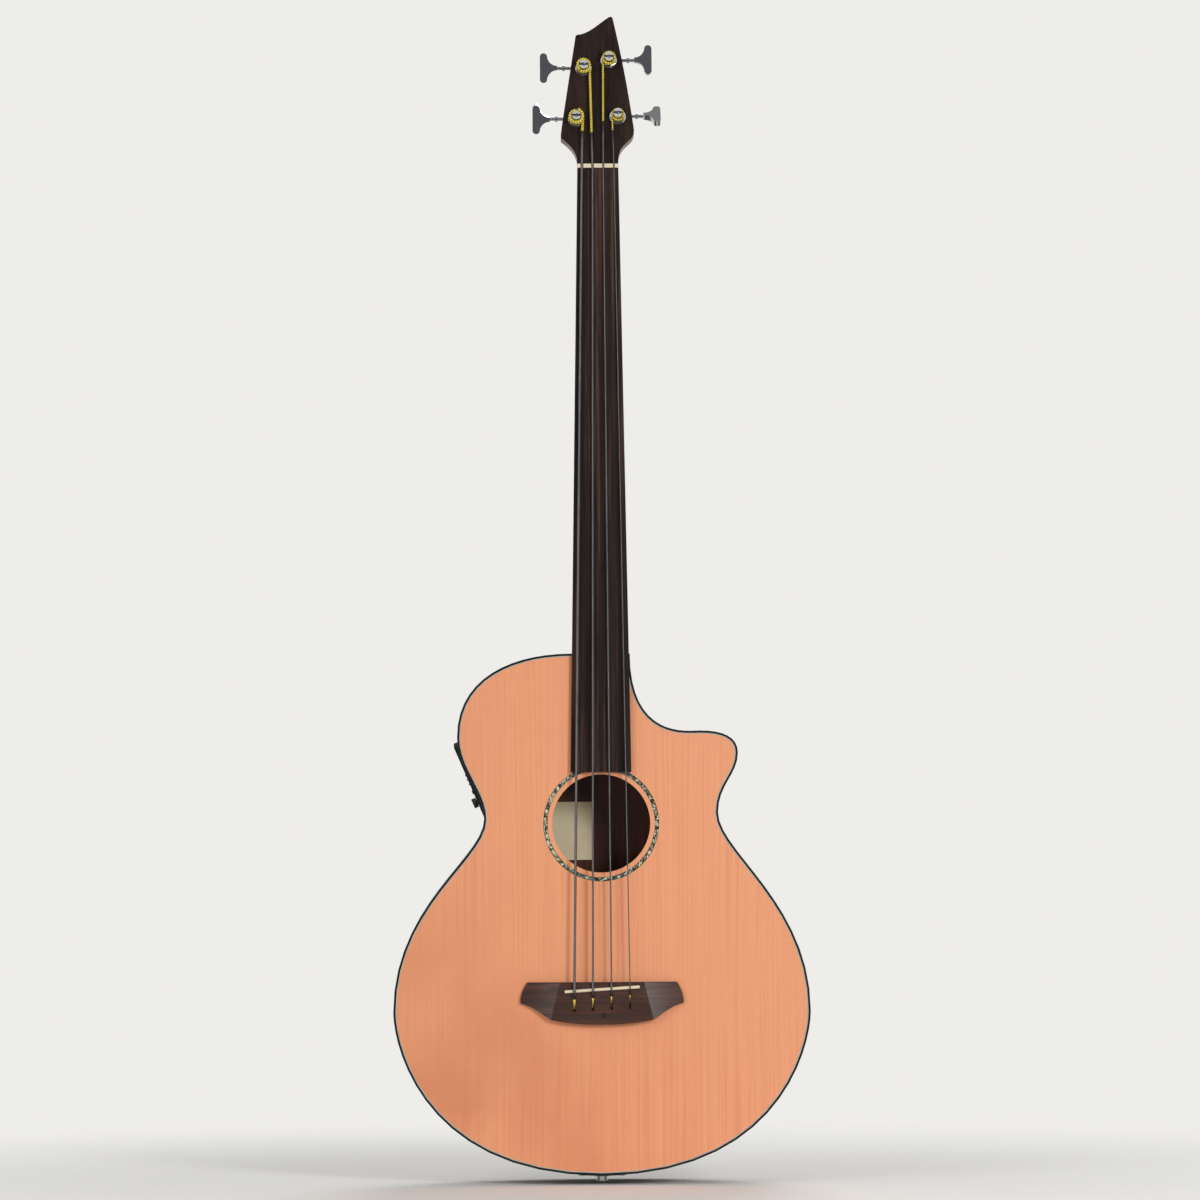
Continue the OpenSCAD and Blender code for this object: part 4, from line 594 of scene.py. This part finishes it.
def string_path(i):
    """A string's points from its ball end over crown and nut to its last loop, in millimetres:
    the silk at the ball, the steel, the silk at the post, and the ball's centre."""
    bare, silk = STRING_D[i] / 2, (STRING_D[i] + SILK_D) / 2
    place = i / (len(STRINGS) - 1) - 0.5
    saddle_x = SADDLE_SPREAD * place
    saddle_z = SADDLE_Z + SADDLE_SLOPE * saddle_x
    nut = np.array([NUT_SPREAD * place, -BOARD_T - NUT_ACTION - bare, 0.0])
    reach = CROWN_R + STRING_GAP + bare

    def crown(angle):
        return np.array([saddle_x, CROWN_Y - reach * math.cos(angle),
                         saddle_z - reach * math.sin(angle)])

    dive = np.array([0, math.sin(DIVE_ANGLE), -math.cos(DIVE_ANGLE)])
    leave = crown(DIVE_ANGLE)
    ball = leave + dive * (BALL_Y - leave[1]) / dive[1]
    silk_start = leave + dive * SILK_STARTS
    at_ball = [ball - dive * (BALL_R + STRING_GAP), leave + dive * SILK_NEXT, silk_start]

    loop_r = POST_R + POST_GAP + silk
    low, pitch = WIND_FROM + POST_GAP + silk, 2 * silk + LOOP_GAP
    n = to_headstock(nut)
    d = (n[0] - POST_X[i], n[2] - POST_Z[i])
    start = math.atan2(d[1], d[0]) - SIDE[i] * math.acos(loop_r / math.hypot(*d))

    def loop(turn):
        a = start - SIDE[i] * 2 * math.pi * turn
        return from_headstock((POST_X[i] + loop_r * math.cos(a), -low - pitch * turn,
                               POST_Z[i] + loop_r * math.sin(a)))

    way = loop(0) - nut
    share = (SILK_FROM[i] - n[2]) / (POST_Z[i] - n[2])
    winding = [loop(k / LOOP_STEPS) for k in range(int(LOOP_STEPS * TURNS[i]) + 1)]
    last = winding[-1] - winding[-2]
    tail = winding[-1] + 2 * silk * last / np.linalg.norm(last)
    at_post = [nut + way * share, nut + way * (share + (1 - share) / 2)] + winding + [tail]

    steel = [silk_start + dive * STEEL_RUNS_ON]
    steel += [crown(DIVE_ANGLE * k / CROWN_STEPS) for k in range(CROWN_STEPS, -1, -1)]
    top = steel[-1]
    steel += [top + (nut - top) * k / BOARD_STEPS for k in range(1, BOARD_STEPS)]
    steel += [nut + way * t for t in (0, share / 3, share * 0.66, share + STEEL_SHARE_ON)]
    return at_ball, steel, at_post, ball


# Way along the thread from one swelling to the next, in millimetres.
THREAD_LAY = 2.4


def twist(path, radius, depth=0.05):
    """Radii that swell and shrink a little along the path, as twisted thread does."""
    lengths = np.concatenate([[0], np.cumsum(np.linalg.norm(np.diff(path, axis=0), axis=1))])
    wave = np.sin(2 * math.pi * lengths / THREAD_LAY)
    radii = radius * (1 - depth + depth * wave)
    radii[0] = radii[-1] = radius * 0.9
    return radii


THREAD_STEP = 0.5
# Radius and place along its axis, in millimetres.
BALL_PROFILE = [
    (0.0, -2.2), (2.5, -2.2), (BALL_R, -1.8), (2.3, -0.9), (2.1, 0), (2.3, 0.9),
    (BALL_R, 1.8), (2.5, 2.2), (0.0, 2.2),
]

for i, letter in enumerate(STRINGS):
    at_ball, steel, at_post, ball = string_path(i)
    line = sweep(f"string_line_{letter}", np.array(steel) * MM,
                 [STRING_D[i] / 2 * MM] * len(steel), MATS["string_steel"])
    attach(line, "guitar")
    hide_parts(f"string_{letter}")
    for end_name, part, look in (("post", at_post, SILK), ("ball", at_ball, BALL_SILK_PAINTED_LIGHT)):
        path = smooth_path(part, THREAD_STEP)
        radii = twist(path, (STRING_D[i] + SILK_D) / 2)
        thread = sweep(f"silk_{end_name}_{letter}", path * MM, radii * MM, look)
        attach(thread, "guitar")
    end = turned(f"ball_end_{letter}", BALL_PROFILE, ball, MATS["brass"])
    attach(end, "guitar")


def tube_centres(obj, ring_gap):
    """The centre line of a tube: rings of points, found one after another from its top end."""
    spots, index = {}, []
    for v in obj.data.vertices:
        key = tuple(round(c, 5) for c in v.co)
        index.append(spots.setdefault(key, len(spots)))
    points = np.array(list(spots))
    near = [set() for _ in points]
    for a, b in (edge.vertices for edge in obj.data.edges):
        near[index[a]].add(index[b])
        near[index[b]].add(index[a])
    top = points[points[:, 2].argmax()]
    ring = set(np.flatnonzero(np.linalg.norm(points - top, axis=1) < ring_gap))
    seen, centres = set(), []
    while ring:
        centres.append(points[list(ring)].mean(axis=0))
        seen |= ring
        ring = set().union(*(near[k] for k in ring)) - seen
    return centres


# The lead's radius and the step along it in millimetres, and in metres a distance that is
# longer than the CAD lead's thickness and shorter than the way to its second ring.
LEAD_R = 1.45
LEAD_STEP = 3.0
LEAD_RING_GAP = 0.00285
lead_line = np.array(tube_centres(frame["nodes"]["inner_lead"], LEAD_RING_GAP))
lead_path = smooth_path(lead_line / MM, LEAD_STEP)
lead = sweep("lead_inside", lead_path * MM, [LEAD_R * MM] * len(lead_path), MATS["cable"])
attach(lead, "guitar")
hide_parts("inner_lead")


def back_face(x, z):
    """Depth of the back's inner face, in millimetres: a wide cylinder that leans with the body."""
    arch = BACK_ARCH - math.sqrt(BACK_ARCH ** 2 - x * x)
    return BACK_DEPTH + (-z - BODY_START) * math.tan(BACK_LEAN) - arch - BACK_T


# The label's sides, in millimetres. It is cut into this many fields across and along, and its
# faces lie this far in front of the back.
LABEL_X = (-60, -8)
LABEL_Z = (-730.5, -668.5)
LABEL_FIELDS = (12, 10)
LABEL_FACES = (0.35, 0.1)


def label():
    """A blank paper label that lies on the back's inner face and follows its curve."""
    (x0, x1), (z0, z1), (nx, nz) = LABEL_X, LABEL_Z, LABEL_FIELDS
    verts, faces = [], []
    for depth in LABEL_FACES:
        for i in range(nx + 1):
            for k in range(nz + 1):
                u, v = i / nx * 2 - 1, k / nz * 2 - 1
                x = (x0 + x1) / 2 + u * (x1 - x0) / 2
                z = (z0 + z1) / 2 + v * (z1 - z0) / 2
                verts.append((x * MM, (back_face(x, z) - depth) * MM, z * MM))
    side = nz + 1
    step = (nx + 1) * side
    for i in range(nx):
        for k in range(nz):
            a = i * side + k
            faces.append((a, a + side, a + side + 1, a + 1))
            faces.append((a + step, a + step + 1, a + step + side + 1, a + step + side))
    rim = ([i * side for i in range(nx + 1)] + [nx * side + k for k in range(1, nz + 1)]
           + [i * side + nz for i in range(nx - 1, -1, -1)] + list(range(nz - 1, 0, -1)))
    for a, b in zip(rim, rim[1:] + rim[:1]):
        faces.append((b, a, a + step, b + step))
    return new_piece("paper_label", verts, faces, paper(), smooth=False)


sheet = label()
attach(sheet, "guitar")


# ---------------------------------------------------------------- stage

FLOOR_HALF = 3
# Distances from the object's foot between which the floor fades.
FADE_FROM = 0.35
FADE_TO = 1.25
lowest = cad_box[0].z


def pale_floor():
    """A pale floor that fades into the background away from the object."""
    m = Nodes("floor_pale")
    speck = m.noise(m.scaled((60,) * 3), detail=3)
    shade = m.mix(m.range(speck, 0.3, 0.7, 0, 0.2), PALE, tuple(v * 0.97 for v in PALE))
    m.set(Base_Color=shade, Roughness=0.8)
    away = m.add("ShaderNodeVectorMath", operation="DISTANCE")
    m.put(away.inputs[0], m.place)
    away.inputs[1].default_value = (0, 0.1, lowest)
    fade = m.add("ShaderNodeMapRange", interpolation_type="SMOOTHSTEP")
    m.put(fade.inputs["Value"], away.outputs["Value"])
    fade.inputs["From Min"].default_value = FADE_FROM
    fade.inputs["From Max"].default_value = FADE_TO
    clear = m.add("ShaderNodeBsdfTransparent")
    mixed = m.add("ShaderNodeMixShader")
    m.put(mixed.inputs[0], fade.outputs[0])
    m.put(mixed.inputs[1], m.shader.outputs[0])
    m.put(mixed.inputs[2], clear.outputs[0])
    m.put(m.tree.nodes["Material Output"].inputs["Surface"], mixed.outputs[0])
    return m.mat


corners = [(-1, -1), (1, -1), (1, 1), (-1, 1)]
floor = new_piece("floor", [(x * FLOOR_HALF, y * FLOOR_HALF, lowest) for x, y in corners],
                  [(0, 1, 2, 3)], pale_floor(), smooth=False)

world = bpy.data.worlds.new("studio")
scene.world = world
world.use_nodes = True
tree = world.node_tree
tree.nodes.clear()


def world_node(kind, inputs=(), **props):
    """A node of the world's tree, with a socket or a value for each of its first inputs."""
    node = tree.nodes.new(kind)
    for key, value in props.items():
        setattr(node, key, value)
    for socket, value in zip(node.inputs, inputs):
        if isinstance(value, bpy.types.NodeSocket):
            tree.links.new(value, socket)
        else:
            socket.default_value = value
    return node


def rising(value, start, end):
    """0 where the value is at start or before it, 1 where it is at end or past it."""
    return world_node("ShaderNodeMapRange", [value, start, end, 0.0, 1.0]).outputs[0]


def combined(operation, a, b, **props):
    return world_node("ShaderNodeMath", [a, b], operation=operation, **props).outputs[0]


def shown(ray, otherwise, then):
    """The second background where the ray's share is 1, else the first."""
    return world_node("ShaderNodeMixShader", [ray, otherwise, then]).outputs[0]


# Brightness of the even light from all round, and the dark that shiny surfaces see.
EVEN_LIGHT = 0.32
DARK = srgb(98, 99, 102)

# The camera sees a pale wall all round. Shiny surfaces see it too, with the darker ceiling,
# floor and camera side of a studio above, below and in front of it.
rays = world_node("ShaderNodeLightPath")
directions = world_node("ShaderNodeTexCoord").outputs["Generated"]
_, depth, height = world_node("ShaderNodeSeparateXYZ", [directions]).outputs
ceiling = rising(height, 0.8, 0.95)
ground = rising(height, -0.2, -0.5)
front = rising(depth, -0.35, -0.8)
strip = combined("MAXIMUM", rising(height, 0.5, 0.4), rising(height, 0.62, 0.67))
camera_side = combined("MULTIPLY", front, strip)
darkness = combined("MAXIMUM", combined("MAXIMUM", ceiling, ground), camera_side)
studio = world_node("ShaderNodeMix", data_type="RGBA")
tree.links.new(darkness, studio.inputs[0])
studio.inputs[6].default_value = (*PALE, 1)
studio.inputs[7].default_value = (*DARK, 1)
lit = world_node("ShaderNodeBackground", [(1, 1, 1, 1), EVEN_LIGHT]).outputs[0]
mirrored = world_node("ShaderNodeBackground", [studio.outputs[2], 1.0]).outputs[0]
seen = world_node("ShaderNodeBackground", [(*PALE, 1), 1.0]).outputs[0]
straight = combined("ADD", rays.outputs["Is Camera Ray"], rays.outputs["Is Transmission Ray"],
                    use_clamp=True)
world_node("ShaderNodeOutputWorld",
           [shown(straight, shown(rays.outputs["Is Glossy Ray"], lit, mirrored), seen)])


def lamp(name, place, aim, size, power):
    """A rectangular lamp, its size in metres and its power in watts."""
    data = bpy.data.lights.new(name, "AREA")
    data.energy = power
    data.shape = "RECTANGLE"
    data.size, data.size_y = size
    obj = bpy.data.objects.new(name, data)
    obj.location = place
    obj.rotation_euler = (Vector(aim) - Vector(place)).to_track_quat("-Z", "Y").to_euler()
    obj.visible_camera = False
    scene.collection.objects.link(obj)


lamp("key_lamp", (1.35, -2.6, 0.1), (0, 0, -0.6), (0.7, 0.9), 45)
lamp("fill_lamp", (-2.2, -2.2, 0.6), (0, 0, -0.5), (1.8, 2.4), 31)
lamp("back_lamp", (0.6, 2.6, 1.2), (0, 0.05, -0.5), (1.6, 1.6), 40)
# Brightens the bridge's left wing.
lamp("low_lamp", (-1.05, -2.05, -0.97), (-0.065, 0, -0.885), (0.4, 0.12), 3.5)

# ---------------------------------------------------------------- camera

# The camera's way from the object, the height and width of the field that it sees there, and
# its turn about the object, its roll and its rise over the horizon.
DISTANCE = 7.0
MIDDLE_Z = -0.4557
FIELD = 1.2640
TURN = math.radians(-1.0)
ROLL = math.radians(-0.3)
RISE = math.radians(-1.5)

camera = bpy.data.cameras.new("camera")
camera.sensor_width = 36
camera.lens = camera.sensor_width * DISTANCE / FIELD
camera.clip_start = 0.05
camera.clip_end = 60
view = bpy.data.objects.new("camera", camera)
scene.collection.objects.link(view)
scene.camera = view
view.location = (DISTANCE * math.sin(TURN), -DISTANCE * math.cos(TURN),
                 MIDDLE_Z + DISTANCE * math.sin(RISE))
look = Vector((0, 0, MIDDLE_Z)) - view.location
view.rotation_mode = "QUATERNION"
view.rotation_quaternion = (look.to_track_quat("-Z", "Y")
                            @ Matrix.Rotation(ROLL, 3, "Z").to_quaternion())

scene.view_settings.view_transform = "Standard"
